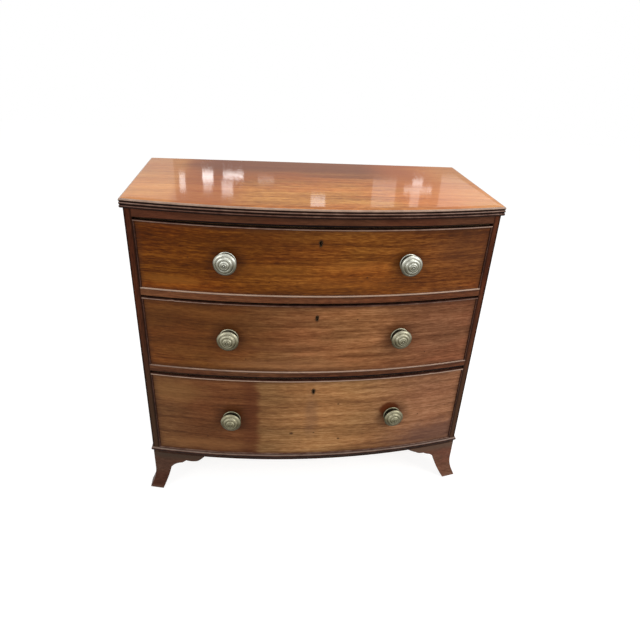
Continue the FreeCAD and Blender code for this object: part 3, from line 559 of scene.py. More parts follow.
def front_paint(drawer):
    """Light and shade, partly painted; zones; painted knob shade; stains; dents; darker edges."""
    low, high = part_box(f"{drawer}_drawer_front")
    key_low, key_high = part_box(f"{drawer}_drawer_escutcheon")
    # First the painted shade round each knob, then the stains
    stains = [(centre, *KNOB_SHADE_HALO) for centre in knob_places(drawer)] + STAINS[drawer]
    stains.append(((0.0, (key_low.z + key_high.z) / 2), *KEYHOLE_WEAR))
    for centre, radius in DENTS[drawer]:
        stains.append((centre, (DENT_WIDTH * radius * MM, radius * MM), *DENT_INK))

    def paint(place, colour):
        x, _, z = axes(place)
        across = plus(x, wandering(place, 6.0, 30.0, 7.0, 0.05))
        across = plus(across, wandering(place, 25.0, 160.0, 9.0, 0.02))
        colour = dimmed(colour, run_through(eased(across, low.x, high.x), FRONT_LIGHT_AND_SHADE[drawer], 2.0))
        head = plus(z, wandering(place, 3.0, 12.0, 12.0, 0.06))
        colour = dimmed(colour, eased(head, low.z, high.z, *FRONT_SLOPE[drawer]))
        colour = washed(colour, across, tinted(colour, FRONT_MAUVE[drawer]), *MAUVE_STEP)
        colour = washed(colour, across, tinted(colour, FRONT_RUDDY[drawer]), *RUDDY_STEP)
        if drawer == "bottom":
            patch = zone(across, PATCH_START, PATCH_END)
            colour = mixed(patch, colour, tinted(colour, PATCH_TINT))
            colour = mixed(times(eased(across, *PATCH_RIM_STEP), patch), colour, PATCH_RIM)
        for stain in stains:
            colour = stained(place, colour, *stain)
        return edge_darkening(place, colour, low, high)

    return paint


front_woods = {
    drawer: wood(f"front_mahogany_{drawer}", FRONT_TONES[drawer], VENEER, shift=11.0 * i, bands=(2.6, 62.0),
                 contrast=FRONT_CONTRAST[drawer], figure=0.15, blush=FRONT_BLUSH[drawer],
                 paint=front_paint(drawer), core=PINE_TONES)
    for i, drawer in enumerate(DRAWERS)
}
print(", ".join(front_woods))

# %% [markdown]
# ## The other woods
#
# The top is the showpiece: brighter, redder, and so well polished that it needs a second layer,
# the shader's coat, which mirrors the windows with its own slight ripple. It is dull and dark
# along its back and bright orange in front. Its ends are paler, partly paled by the sun and partly
# a painted reflection of the bright walls at the sides.

# %% Top
TOP_TONES = ((0.165, 0.050, 0.012), (0.375, 0.151, 0.034), (0.545, 0.260, 0.072))
# The pale ends: partly sun-paled wood, partly a painted reflection of the bright walls at the sides
TOP_FADE_AND_REFLECTION, TOP_FADE_AND_REFLECTION_STEP = (0.540, 0.240, 0.090), (0.24, 0.38)
TOP_DULL, TOP_DULL_STEP = (0.132, 0.041, 0.018), (-0.08, 0.15, 0.0, 0.88)
TOP_LEFT_RED, TOP_LEFT_ZONE = (0.270, 0.066, 0.020), ((-0.36, -0.32), (-0.24, -0.14, 0.65, 0.0))
TOP_RIGHT_RED, TOP_RIGHT_ZONE = (0.400, 0.110, 0.028), ((0.14, 0.26), (0.30, 0.44, 0.45, 0.0))
TOP_CLOUD = ((0.330, 0.085, 0.014), 0.45, 0.70, 0.0, 0.30)


def top_paint(place, colour):
    """The pale ends, partly painted reflection, the dull back, two red zones and soft red clouds."""
    x, y, _ = axes(place)
    end = plus(sums("ABSOLUTE", x), wandering(place, 4.0, 12.0, 8.0, 0.16))
    faded_and_reflected = eased(end, *TOP_FADE_AND_REFLECTION_STEP)
    back = plus(y, wandering(place, 3.0, 16.0, 5.0, 0.10))
    dull = times(eased(back, *TOP_DULL_STEP), eased(faded_and_reflected, 0, 1, 1.0, 0.35))
    colour = mixed(times(faded_and_reflected, 0.5), colour, TOP_FADE_AND_REFLECTION)
    colour = mixed(zone(x, *TOP_LEFT_ZONE), colour, TOP_LEFT_RED)
    colour = mixed(dull, colour, TOP_DULL)
    colour = mixed(zone(x, *TOP_RIGHT_ZONE), colour, TOP_RIGHT_RED)
    return washed(colour, noise(place, 3.0, 9.0, 6.0, roughness=0.6), *TOP_CLOUD)


top_wood = wood("top_mahogany", TOP_TONES, shift=31.0, bands=(2.4, 60.0), pores=0.35, shine=0.0, gloss=0.45,
                coat=0.30, relief=0.2, paint=top_paint)
print("top ready")

# %% [markdown]
# Rails, posts and feet are stained dark. Along the foot of each rail lies a black line of painted
# shadow, where the drawer below just clears it. The posts turn from red to olive brown on their
# way down. The feet are grey under the bead, partly their own tone and partly painted shade of the
# bead; redder below; worn pale at the toes; painted brighter on the right, as lit from that side;
# and painted black, as shade, along their inner edges.
# Each such wash is written as its tone, where its soft step starts and ends, and its share at
# each.

# %% Rails
RAIL_TONES = {
    "frieze_rail": ((0.050, 0.017, 0.008), (0.076, 0.027, 0.012), (0.106, 0.039, 0.018)),
    "upper_rail": ((0.062, 0.023, 0.010), (0.118, 0.045, 0.018), (0.185, 0.076, 0.031)),
    "lower_rail": ((0.050, 0.018, 0.008), (0.095, 0.036, 0.015), (0.150, 0.062, 0.027)),
}
GAP_SHADOW_HEIGHTS = {  # height of the painted black shadow line in millimetres, at five places from the left end to the right
    "frieze_rail": (0.6, 3.4, 4.2, 2.8, 0.9),
    "upper_rail": (0.2, 0.4, 0.4, 0.6, 0.4),
    "lower_rail": (1.4, 3.2, 4.2, 4.2, 3.4),
}
GAP_SHADOW = ((0.004, 0.001, 0.001), -0.6 * MM, 0.6 * MM, 1.0, 0.0)


def gap_shadow_paint(rail):
    """The painted shadow: a black line along the foot of a rail's front."""
    low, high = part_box(rail)

    def paint(place, colour):
        x, _, z = axes(place)
        share = add(place.id_data, "MapRange", {0: x, 1: low.x, 2: high.x})
        width = run_through(share, [height * MM for height in GAP_SHADOW_HEIGHTS[rail]], 10 * MM)
        above = plus(minus(minus(z, low.z), width), wandering(place, 7.0, 30.0, 17.0, 1.5 * MM))
        return washed(colour, above, *GAP_SHADOW)

    return paint


rail_woods = {
    rail: wood(f"{rail}_mahogany", tones, VENEER, shift=41.0 + 2 * i, paint=gap_shadow_paint(rail), core=PINE_TONES)
    for i, (rail, tones) in enumerate(RAIL_TONES.items())
}
print(", ".join(rail_woods))

# %% Posts and feet
POST_TONES = ((0.034, 0.012, 0.006), (0.066, 0.022, 0.010), (0.106, 0.036, 0.016))
POST_OLIVE = ((0.052, 0.031, 0.018), 0.25, 0.60, 0.75, 0.0)
POST_BLACK = ((0.008, 0.003, 0.002), 1 * MM, 6 * MM, 0.85, 0.0)
POST_INNER = ((0.012, 0.005, 0.003), 12 * MM, 17 * MM, 0.0, 0.60)
FOOT_TONES = ((0.043, 0.018, 0.010), (0.082, 0.036, 0.021), (0.130, 0.064, 0.039))
# Grey under the bead: partly the foot's own tone, partly painted shade of the bead
FOOT_GREY_AND_SHADE = ((0.062, 0.040, 0.026), 0.095, 0.120, 0.0, 0.75)
FOOT_TOE = ((0.170, 0.110, 0.080), 0.000, 0.012, 0.60, 0.0)
# Painted shade: the inner edges, under the chest, are black
FOOT_INNER_SHADE = ((0.010, 0.005, 0.004), -0.55, -0.35, 0.92, 0.0)
FOOT_PAINTED_LIGHT = (-0.46, 0.46, 0.80, 1.45)         # painted light: the right feet are the brighter ones, as lit from the right


def post_paint(place, colour):
    """A post is olive brown low down, and nearly black along both its edges."""
    x, _, z = axes(place)
    colour = washed(colour, plus(z, wandering(place, 9.0, 9.0, 16.0, 0.15)), *POST_OLIVE)
    from_edge = plus(minus(HALF, sums("ABSOLUTE", x)), wandering(place, 60.0, 12.0, 15.0, 3 * MM))
    colour = washed(colour, from_edge, *POST_BLACK)
    return washed(colour, from_edge, *POST_INNER)


def foot_paint(place, colour):
    """A foot's grey head, partly painted shade; its pale toe; its painted light; its inner edges, painted
    black as shade.

    An inner edge looks to the middle of the chest, so its normal's x has the other sign than x.
    """
    x, _, z = axes(place)
    height = plus(z, wandering(place, 30.0, 40.0, 19.0, 14 * MM))
    colour = washed(colour, height, *FOOT_GREY_AND_SHADE)
    # Painted light from the right
    colour = dimmed(colour, eased(x, *FOOT_PAINTED_LIGHT))
    colour = washed(colour, height, *FOOT_TOE)
    normal = add(place.id_data, "TexCoord").outputs["Normal"]
    outwards = times(axes(normal)[0], sums("SIGN", x))
    return washed(colour, outwards, *FOOT_INNER_SHADE)


post_wood = wood("post_mahogany", POST_TONES, "z", shift=47.0, shine=0.02, paint=post_paint)
foot_wood = wood("foot_mahogany", FOOT_TONES, shift=59.0, contrast=0.4, paint=foot_paint)
print("posts and feet ready")

# %% [markdown]
# Linings are bare oak, and the back, bottoms and dust boards are bare pine. The back boards are
# grey with dust, and nailed to the sides with two dark nail heads to a board's end. They are all
# one size, so one pattern that folds back and forth every half pitch draws every nail.

# %% Back boards
BACK_BOARDS = 4
NAILS_FROM_END = 5 * MM
BACK_DUST = ((0.100, 0.072, 0.050), 0.20, 0.80, 0.25, 0.50)
NAIL_RUST = ((0.060, 0.030, 0.018), 2 * MM, 14 * MM, 0.7, 0.0)
NAIL_IRON = ((0.020, 0.014, 0.012), 2.4 * MM, 2.9 * MM, 1.0, 0.0)


def nail_paint(place, colour):
    """Dust, rust stains and nail heads of the back boards."""
    low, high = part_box("back_boards")
    pitch = (high.z - low.z) / (2 * BACK_BOARDS)
    x, _, z = axes(place)
    dust = noise(place, 3.0, 9.0, 27.0, detail=4.0, roughness=0.6)
    colour = washed(colour, dust, *BACK_DUST)
    across = minus(sums("ABSOLUTE", x), high.x - NAILS_FROM_END)
    up = plus(minus(z, low.z + pitch / 2), wandering(place, 1.0, 3.0, 29.0, 12 * MM))
    up = sums("PINGPONG", up, pitch / 2)
    away = sums("SQRT", plus(times(across, across), times(up, up)))
    colour = washed(colour, away, *NAIL_RUST)
    return washed(colour, away, *NAIL_IRON)


BARE_PINE = {"bands": (1.2, 45.0), "gloss": 0.75, "pores": 0.1, "blush": 0.2}
pine = wood("pine", PINE_TONES, shift=73.0, **BARE_PINE)
pine_back = wood("pine_back", PINE_TONES, shift=83.0, paint=nail_paint, **BARE_PINE)
pine_upright = wood("pine_upright", PINE_TONES, "z", shift=79.0, **BARE_PINE)
print("pine ready")

# %% Oak linings, sides and base
OAK_TONES = ((0.180, 0.105, 0.048), (0.290, 0.180, 0.090), (0.390, 0.260, 0.140))
SIDE_TONES = ((0.075, 0.023, 0.007), (0.125, 0.042, 0.013), (0.190, 0.070, 0.023))
# The bottom board's front shows under the base bead: nearly black, partly its own dark tone and partly
# painted shade under the bead.
BASE_TONES = ((0.018, 0.009, 0.006), (0.034, 0.017, 0.011), (0.055, 0.028, 0.018))
oak = wood("oak_lining", OAK_TONES, "y", shift=67.0, gloss=0.7, blush=0.2)
oak_across = wood("oak_across", OAK_TONES, shift=71.0, gloss=0.7, blush=0.2)
side_wood = wood("side_mahogany", SIDE_TONES, "z", shift=53.0, contrast=0.34, coat=0.1)
base_wood = wood("base_mahogany", BASE_TONES, shift=49.0, shine=0.03, core=PINE_TONES)
print("woods ready")

# %% [markdown]
# Beads and reeds stand out. Their upper faces are painted pale, partly worn by cloths and
# clothes and partly lit from above, and their hollows are painted black, partly wax and partly
# shade. Their meshes carry an attribute, `rubbed_and_lit`, from 0 in a hollow to 1 on a crown, and
# one kind of material serves every moulding.

# %% Mouldings
# Hollows: wax and painted shade. Crowns: wear and painted highlight.
MOULDING_WAX_AND_SHADE = (0.010, 0.005, 0.004)
MOULDING_BODY = (0.080, 0.032, 0.020)
MOULDING_RUBBED_AND_LIT = (0.390, 0.262, 0.190)
BASE_RUBBED_AND_LIT = (0.250, 0.182, 0.142)
MOULDING_ROUGHNESS = 0.34
FIBRE_RELIEF = 0.12 * MM


def rubbed_and_lit_share(tree):
    """How worn and lit the surface is painted, from its mesh's attribute."""
    return add(tree, "Attribute", attribute_name="rubbed_and_lit").outputs["Fac"]


def moulding(name, shift, crown):
    """A dark moulding: wax and painted shade in hollows, its body's colour, a crown of wear and highlight.
    """
    made, tree, shader = new_material(name)
    place = add(tree, "TexCoord").outputs["Object"]
    uneven = noise(place, 38.0, 60.0, shift, detail=4.0, roughness=0.65)
    share = sums("MULTIPLY_ADD", minus(uneven, 0.5), 0.5, rubbed_and_lit_share(tree))
    colour = ramp(share, [(0.05, MOULDING_WAX_AND_SHADE), (0.38, MOULDING_BODY), (0.95, crown)])
    fibre = noise(place, 14.0, 700.0, shift + 2.0, detail=2.0, roughness=0.6)
    fill(shader, {
        "Base Color": dimmed(colour, eased(fibre, 0.3, 0.7, 0.85, 1.12)),
        "Roughness": MOULDING_ROUGHNESS,
        "Specular IOR Level": eased(share, 0.2, 0.7, 0.03, 0.20),
        "Normal": bumped(fibre, 0.4, FIBRE_RELIEF),
    })
    return made


moulding_wood = moulding("moulding_mahogany", 61.0, MOULDING_RUBBED_AND_LIT)
base_moulding = moulding("base_moulding", 63.0, BASE_RUBBED_AND_LIT)
print("moulding ready")

# %% [markdown]
# ## Metals
#
# The knobs are brass that has not been cleaned for years. They have gone a soft grey green,
# silvery where hands and cloths reach, and are painted lighter towards the top and olive
# underneath, as light from above shows them. Their neck and the face of their plate are painted
# black, partly old polish and partly shade under the head. Here too an attribute says how worn and
# lit each ring of the turning is painted.

# %% Brass and iron
METAL_SHINE = 0.1
METAL_RELIEF = 0.08 * MM


def metal(name, grime_and_shade, film, bright, gloss, turned=False):
    """A metal from grime, on a knob painted shade as well, through a dull film to its bright body.

    The share is patchy noise, and on a turned piece the rubbed_and_lit attribute times painted
    light from above, lower where the surface looks down and higher where it looks up.
    """
    made, tree, shader = new_material(name)
    coordinates = add(tree, "TexCoord").outputs
    place = coordinates["Object"]
    patch = noise(place, 120.0, 120.0, 1.0, detail=4.0, roughness=0.65)
    if turned:
        # Painted light: brighter where the surface looks up, darker where it looks down
        over = eased(axes(coordinates["Normal"])[2], -0.30, 0.40, 0.36, 1.08)
        share = times(times(rubbed_and_lit_share(tree), over), eased(patch, 0.25, 0.75, 0.85, 1.1))
    else:
        share = eased(patch, 0.25, 0.75, 0.35, 0.85)
    fine = noise(place, 700.0, 700.0, 2.0, detail=2.0)
    fill(shader, {
        "Base Color": ramp(share, [(0.0, grime_and_shade), (0.45, film), (1.0, bright)]),
        "Metallic": eased(share, 0.05, 0.30, 0.0, 0.9),
        "Specular IOR Level": METAL_SHINE,
        "Roughness": eased(patch, 0.2, 0.8, gloss + 0.06, gloss - 0.06),
        "Normal": bumped(fine, 0.3, METAL_RELIEF),
    })
    return made


# Black: old polish in the neck, and painted shade there and under the head
KNOB_GRIME_AND_SHADE = (0.003, 0.002, 0.002)
KNOB_BRASS = {  # the dull film and the bright metal
    "top": ((0.175, 0.165, 0.118), (0.610, 0.620, 0.550)),
    "middle": ((0.118, 0.104, 0.060), (0.440, 0.420, 0.310)),
    "bottom": ((0.105, 0.092, 0.050), (0.350, 0.330, 0.225)),
}
knob_brasses = {
    drawer: metal(f"knob_brass_{drawer}", KNOB_GRIME_AND_SHADE, film, bright, 0.42, turned=True)
    for drawer, (film, bright) in KNOB_BRASS.items()
}
plain_brass = metal("plain_brass", (0.020, 0.015, 0.008), (0.130, 0.110, 0.060), (0.300, 0.260, 0.150), 0.45)
dark_brass = metal("dark_brass", (0.008, 0.006, 0.004), (0.022, 0.017, 0.010), (0.060, 0.048, 0.028), 0.5)
iron = metal("iron", (0.012, 0.010, 0.009), (0.045, 0.038, 0.033), (0.150, 0.135, 0.120), 0.55)
print("metals ready")

# %% [markdown]
# ## New pieces
#
# Every new piece is a stack of closed loops of points: a moulding's section carried along its
# run, or a turned profile carried round its axis. One function makes the mesh from the stack.
# It joins neighbouring loops with four-sided faces, closes both ends, and turns the faces over
# if the volume comes out negative.

# %% Meshes from loops
def loops_mesh(name, loops):
    """Mesh from loops[i, j], point j of closed loop i, or from several such stacks, loops[n, i, j].

    Face (i, j) joins (i, j), (i, j+1), (i+1, j+1), (i+1, j), and a flat face closes each end.
    Volume is a sixth of the sum of a · (b × c) over the faces' corners, and its sign says which
    way they look.
    """
    count, size = loops.shape[-3:-1]
    starts = np.arange(loops.size // (3 * count * size)) * count * size
    i, j = np.meshgrid(np.arange(count - 1), np.arange(size), indexing="ij")
    along = (j + 1) % size
    faces = np.stack([i * size + j, i * size + along, (i + 1) * size + along, (i + 1) * size + j], -1)
    faces = (faces.reshape(1, -1, 4) + starts[:, None, None]).reshape(-1, 4)
    points = loops.reshape(-1, 3)
    a, b, c, d = (points[faces[:, k]] for k in range(4))
    volume = (np.einsum("ij,ij->i", a, np.cross(b, c)) + np.einsum("ij,ij->i", a, np.cross(c, d))).sum()
    ends = np.stack([np.arange(size)[::-1], np.arange(size) + (count - 1) * size])
    caps = (ends[None] + starts[:, None, None]).reshape(-1, size)
    for cap in caps:
        fan = points[cap]
        volume += (np.cross(fan[1:-1], fan[2:]) @ fan[0]).sum()
    listed = faces.tolist() + caps.tolist()
    if volume < 0:
        listed = [face[::-1] for face in listed]
    mesh = bpy.data.meshes.new(name)
    mesh.from_pydata(points.tolist(), [], listed)
    mesh.update()
    return mesh


def write_rubbed_and_lit(mesh, values):
    """Stores one number for each point, in the order of the loops."""
    attribute = mesh.attributes.new("rubbed_and_lit", "FLOAT", "POINT")
    attribute.data.foreach_set("value", np.clip(values, 0, 1).astype(np.float32).ravel())


def place_piece(name, mesh, body, material, replaced=(), crease=35.0):
    """Puts a finished mesh in the scene: smooth but for creases, riding on its body."""
    mesh.polygons.foreach_set("use_smooth", np.ones(len(mesh.polygons), dtype=bool))
    mesh.set_sharp_from_angle(angle=math.radians(crease))
    mesh.materials.append(material)
    piece = bpy.data.objects.new(name, mesh)
    scene.collection.objects.link(piece)
    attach(piece, body)
    if replaced:
        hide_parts(*replaced)
    print(f"{name}: {len(mesh.polygons)} faces on {body}")


LONGEST_WAVE = 0.5


def waver(run, seed, size):
    """Slow unevenness along a run: four sine waves, each twice as quick and half as high."""
    starts = np.random.default_rng(seed).uniform(0, 2 * math.pi, 4)
    waves = [np.sin(2 * math.pi * 2**k * run / LONGEST_WAVE + starts[k]) / 2**k for k in range(4)]
    return size * sum(waves) / 2


print("mesh helpers ready")

# %% [markdown]
# ## The reeded top
#
# The top board's edge is worked with three reeds, small half-rounds side by side, along the
# front and both ends. An outline drawn at a distance outside the carcass is two straight ends
# and the bow between them, and the corner is where the two meet, at x = half + distance. Each
# point of the reeds' section has its own distance and height, and so its own outline. The upper
# face and the reeds take different finishes, so each face gets its slot by its height.

# %% Outline and reeds
REED_COUNT = 3
REED_DEPTH = 2.6 * MM
REED_WEAR_AND_LIGHT = (0.48, 0.64, 0.95)      # paleness, as wear and painted light, from the lowest reed to the highest
REED_CROWN, REED_SPREAD = 0.4, 0.42 # where t is palest, and how fast that fades
END_STEPS, FRONT_STEPS, REED_STEPS = 60, 160, 13


def outline(distance):
    """Plan outline at each of the given distances outside the carcass, from the left end's back."""
    distance = np.asarray(distance)[:, None]
    end_x = HALF + distance
    corner_y = bow_y(end_x, distance)
    down = np.linspace(0, 1, END_STEPS, endpoint=False)[None, :]
    end_y = BACK_Y + (corner_y - BACK_Y) * down
    front_x = np.linspace(-1, 1, FRONT_STEPS)[None, :] * end_x
    front_y = bow_y(front_x, distance)
    x = np.concatenate([-end_x + 0 * down, front_x, end_x + 0 * down], axis=1)
    y = np.concatenate([end_y, front_y, end_y[:, ::-1]], axis=1)
    return x, y


def reeds(outer, low, high):
    """Section of the reeded edge, and how pale it is painted.

    Over each reed t runs from -1 to 1, and distance = outer - depth (1 - sqrt(1 - t²)). The upper
    half of each is painted pale, partly wear and partly painted light, most at t = 0.4 and on the
    highest reed, and the hollows at t = ±1 are painted black, partly wax and partly shade.
    """
    pitch = (high - low) / REED_COUNT
    t = np.linspace(-1, 1, REED_STEPS)
    reach = outer - REED_DEPTH * (1 - np.sqrt(np.maximum(0, 1 - t**2)))
    rubbed_and_lit = np.exp(-(((t - REED_CROWN) / REED_SPREAD) ** 2))
    heights = [low + (k + (t + 1) / 2) * pitch for k in range(REED_COUNT)]
    return np.tile(reach, REED_COUNT), np.concatenate(heights), np.outer(REED_WEAR_AND_LIGHT, rubbed_and_lit).ravel()


print(f"{REED_COUNT} reeds of {(top_high.z - top_low.z) / REED_COUNT / MM:.1f} mm")

# %% Top board
ARRIS = 1.0 * MM                    # rounding of the upper edge
TOP_INSET = 20 * MM                 # how far inside the carcass the two faces' outlines lie
HIGHEST_WEAR_AND_LIGHT = 0.75                 # the least on the upper half of the highest reed
FACE_WEAR_AND_LIGHT = (0.3, 0.8, 0.5)         # under the top (painted shade), at its arris (wear and highlight), on its face
LOOKS_UP = 0.99                     # the least z of an upper face's normal

overhang = top_high.x - HALF
reach, height, rubbed_and_lit = reeds(overhang, top_low.z, top_high.z)
rubbed_and_lit[-REED_STEPS // 2:] = np.maximum(rubbed_and_lit[-REED_STEPS // 2:], HIGHEST_WEAR_AND_LIGHT)
reach = np.concatenate([[-TOP_INSET], reach[:-1], [overhang - REED_DEPTH - ARRIS, -TOP_INSET]])
height = np.concatenate([[top_low.z], height[:-1], [top_high.z, top_high.z]])
rubbed_and_lit = np.concatenate([FACE_WEAR_AND_LIGHT[:1], rubbed_and_lit[:-1], FACE_WEAR_AND_LIGHT[1:]])
x, y = outline(reach)
top_mesh = loops_mesh("top", np.stack([x, y, height[:, None] + 0 * x], axis=-1))
write_rubbed_and_lit(top_mesh, rubbed_and_lit[:, None] + 0 * x)
top_mesh.materials.append(top_wood)
place_piece("top", top_mesh, "carcass", moulding_wood, ["top_board"])

face_centres = np.empty(3 * len(top_mesh.polygons))
top_mesh.polygons.foreach_get("center", face_centres)
face_normals = np.empty(3 * len(top_mesh.polygons))
top_mesh.polygons.foreach_get("normal", face_normals)
looks_up = face_normals[2::3] > LOOKS_UP
at_back = face_centres[1::3] > BACK_Y - 1 * MM
top_mesh.polygons.foreach_set("material_index", np.where(looks_up | at_back, 0, 1).astype(np.int32))

# %% [markdown]
# ## Beads
#
# A cock bead is a thin strip let into the edge of each drawer front, standing proud with a
# rounded nose. It guards the veneer, so it takes the knocks: its nose is a little uneven, and
# here and there a chip is gone. The base bead is a larger half-round under the bottom drawer.

# %% Chips, wear and painted light of the cock beads
BEAD_THICKNESS = 4.0 * MM
BEAD_SEAT = 9.0 * MM
BEAD_PROUD = 3.0 * MM
BEAD_WAVER = 0.18 * MM
BEAD_WORN_OFF = 0.2 * MM
CHIPS = {  # place along the run, half its length, depth
    ("middle", "upper"): [(-0.357, 6 * MM, 1.9 * MM), (0.12, 3 * MM, 0.7 * MM)],
    ("top", "upper"): [(-0.31, 4 * MM, 0.6 * MM), (0.27, 5 * MM, 0.8 * MM)],
    ("bottom", "upper"): [(0.33, 5 * MM, 0.9 * MM)],
    ("top", "lower"): [(-0.05, 4 * MM, 0.7 * MM)],
    ("bottom", "left"): [(0.06, 5 * MM, 0.9 * MM)],
}
BEAD_WEAR_AND_LIGHT = {  # how pale the nose is painted, as wear and light from above, at the left end, middle and right end
    ("top", "upper"): (0.62, 0.70, 0.85),
    ("top", "lower"): (0.95, 1.00, 0.90),
    ("middle", "upper"): (0.80, 0.42, 0.55),
    ("middle", "lower"): (0.60, 0.85, 0.75),
    ("bottom", "upper"): (0.95, 1.05, 1.00),
    ("bottom", "lower"): (0.45, 0.40, 0.45),
}
# Upright beads look sideways, so they are painted darker: less painted light from above
UPRIGHT_WEAR_AND_LIGHT = (0.34, 0.26, 0.34)
UPRIGHT_FADE = (0.45, 0.90, 1.00, 0.45)    # over the section from its foot to its head: palest on the nose, as wear and painted highlight
# A lower bead's head looks up, so it is painted palest: wear and light from above
LOWER_FADE = (0.30, 0.75, 1.00, 1.10)
HEAD_WEAR_AND_SHADE = {"top": 0.08, "middle": 0.25, "bottom": 0.25}    # at the head of each upper bead: painted shade in the gap under the rail
print(f"{sum(map(len, CHIPS.values()))} chips")

# %% Bead helpers
NOSE_STEPS = 9
LONG_STEPS, SHORT_STEPS = 260, 90


def bead_section(proud):
    """Closed section of a bead (out, up), `up` from 0 to 1, with `proud` given for each loop.

    The nose is half an ellipse: out = shoulder + rounding cos(a), up = (1 + sin(a)) / 2.
    """
    angle = np.linspace(-math.pi / 2, math.pi / 2, NOSE_STEPS)
    rounding = BEAD_THICKNESS / 2
    nose = proud[:, None] - rounding + rounding * np.cos(angle)
    seat = np.full((len(proud), 1), -BEAD_SEAT)
    up = np.concatenate([[0.0], (1 + np.sin(angle)) / 2, [1.0]])
    return np.concatenate([seat, nose, seat], axis=1), up


def proud_along(run, seed, chips):
    """How far the nose stands out along the run, less the bell-shaped chips."""
    proud = BEAD_PROUD - BEAD_WORN_OFF + waver(run, seed, BEAD_WAVER)
    for centre, half_length, depth in chips:
        proud = proud - depth * np.exp(-(((run - centre) / half_length) ** 4))
    return proud


def bead_rubbed_and_lit(run, up, wear_and_light, fade):
    """Painted wear and light: that along the run times the fade over the section."""
    length = np.interp(run, [run[0], run.mean(), run[-1]], wear_and_light)
    return length[:, None] * np.interp(up, [0.0, 0.3, 0.6, 1.0], fade)[None, :]


def add_bead(drawer, side, rows, rubbed_and_lit, replaced=()):
    """Makes one bead from its loops of points and puts it on its drawer."""
    name = f"{drawer}_bead_{side}"
    mesh = loops_mesh(name, rows)
    write_rubbed_and_lit(mesh, rubbed_and_lit)
    place_piece(name, mesh, f"{drawer}_drawer", moulding_wood, replaced)


print("bead helpers ready")

# %% Cock beads
for k, drawer in enumerate(DRAWERS):
    low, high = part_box(f"{drawer}_drawer_cock_beads")
    for m, (side, z) in enumerate((("lower", low.z), ("upper", high.z - BEAD_THICKNESS))):
        run = np.linspace(low.x, high.x, LONG_STEPS)
        out, up = bead_section(proud_along(run, 10 * k + m, CHIPS.get((drawer, side), ())))
        x = run[:, None] + 0 * out
        rows = np.stack([x, bow_y(x, out), z + BEAD_THICKNESS * up[None, :] + 0 * out], axis=-1)
        fade = (*UPRIGHT_FADE[:3], HEAD_WEAR_AND_SHADE[drawer]) if side == "upper" else LOWER_FADE
        rubbed_and_lit = bead_rubbed_and_lit(run, up, BEAD_WEAR_AND_LIGHT[(drawer, side)], fade)
        add_bead(drawer, side, rows, rubbed_and_lit, [f"{drawer}_drawer_cock_beads"])
    for m, (side, edge_x) in enumerate((("left", low.x), ("right", high.x - BEAD_THICKNESS))):
        run = np.linspace(low.z + BEAD_THICKNESS, high.z - BEAD_THICKNESS, SHORT_STEPS)
        out, up = bead_section(proud_along(run - run.mean(), 10 * k + m + 5, CHIPS.get((drawer, side), ())))
        x = edge_x + BEAD_THICKNESS * up[None, :] + 0 * out
        rows = np.stack([x, bow_y(x, out), run[:, None] + 0 * out], axis=-1)
        add_bead(drawer, side, rows, bead_rubbed_and_lit(run, up, UPRIGHT_WEAR_AND_LIGHT, UPRIGHT_FADE))

# %% [markdown]
# The base bead's section is half a round: at the angle a, the distance outside the carcass is
# reach cos(a) and the height is half its thickness times sin(a), measured from its middle. The
# same outline as for the top carries it round the front and both ends.

# %% Base bead
BASE_STEPS = 13
BASE_WEAR_AND_LIGHT = ([-1.0, 0.0, 0.3, 0.7, 1.0], [0.06, 0.08, 0.20, 0.80, 0.60])    # sin(a), and how pale it is painted: wear and light on top, shade below
base_low, base_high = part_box("base_bead")
angle = np.linspace(-math.pi / 2, math.pi / 2, BASE_STEPS)
height = (base_low.z + base_high.z) / 2 + (base_high.z - base_low.z) / 2 * np.sin(angle)
x, y = outline((base_high.x - HALF) * np.cos(angle))
rows = np.stack([x, y, height[:, None] + 0 * x], axis=-1).transpose(1, 0, 2)
base_mesh = loops_mesh("base_bead_worn", rows)
rubbed_and_lit = np.interp(np.sin(angle), *BASE_WEAR_AND_LIGHT)
write_rubbed_and_lit(base_mesh, (rubbed_and_lit[:, None] + 0 * x).T)
place_piece("base_bead_worn", base_mesh, "carcass", base_moulding, ["base_bead"])

# %% [markdown]
# ## Turned brass knobs
#
# Each knob was turned from cast brass: a round plate, a waisted neck, and a deep domed head cut
# with three rings round a small button. Its profile is a run of short stretches, each a chord
# with a bulge b, the curve a + t (c - a) + 4 b t (1 - t) n, where n is the chord's normal. Turned
# about its axis, the profile becomes the knob.

# %% Knob profile
SHANK_END, SHANK_WEAR_AND_LIGHT = (0.02, -22.05), 0.3
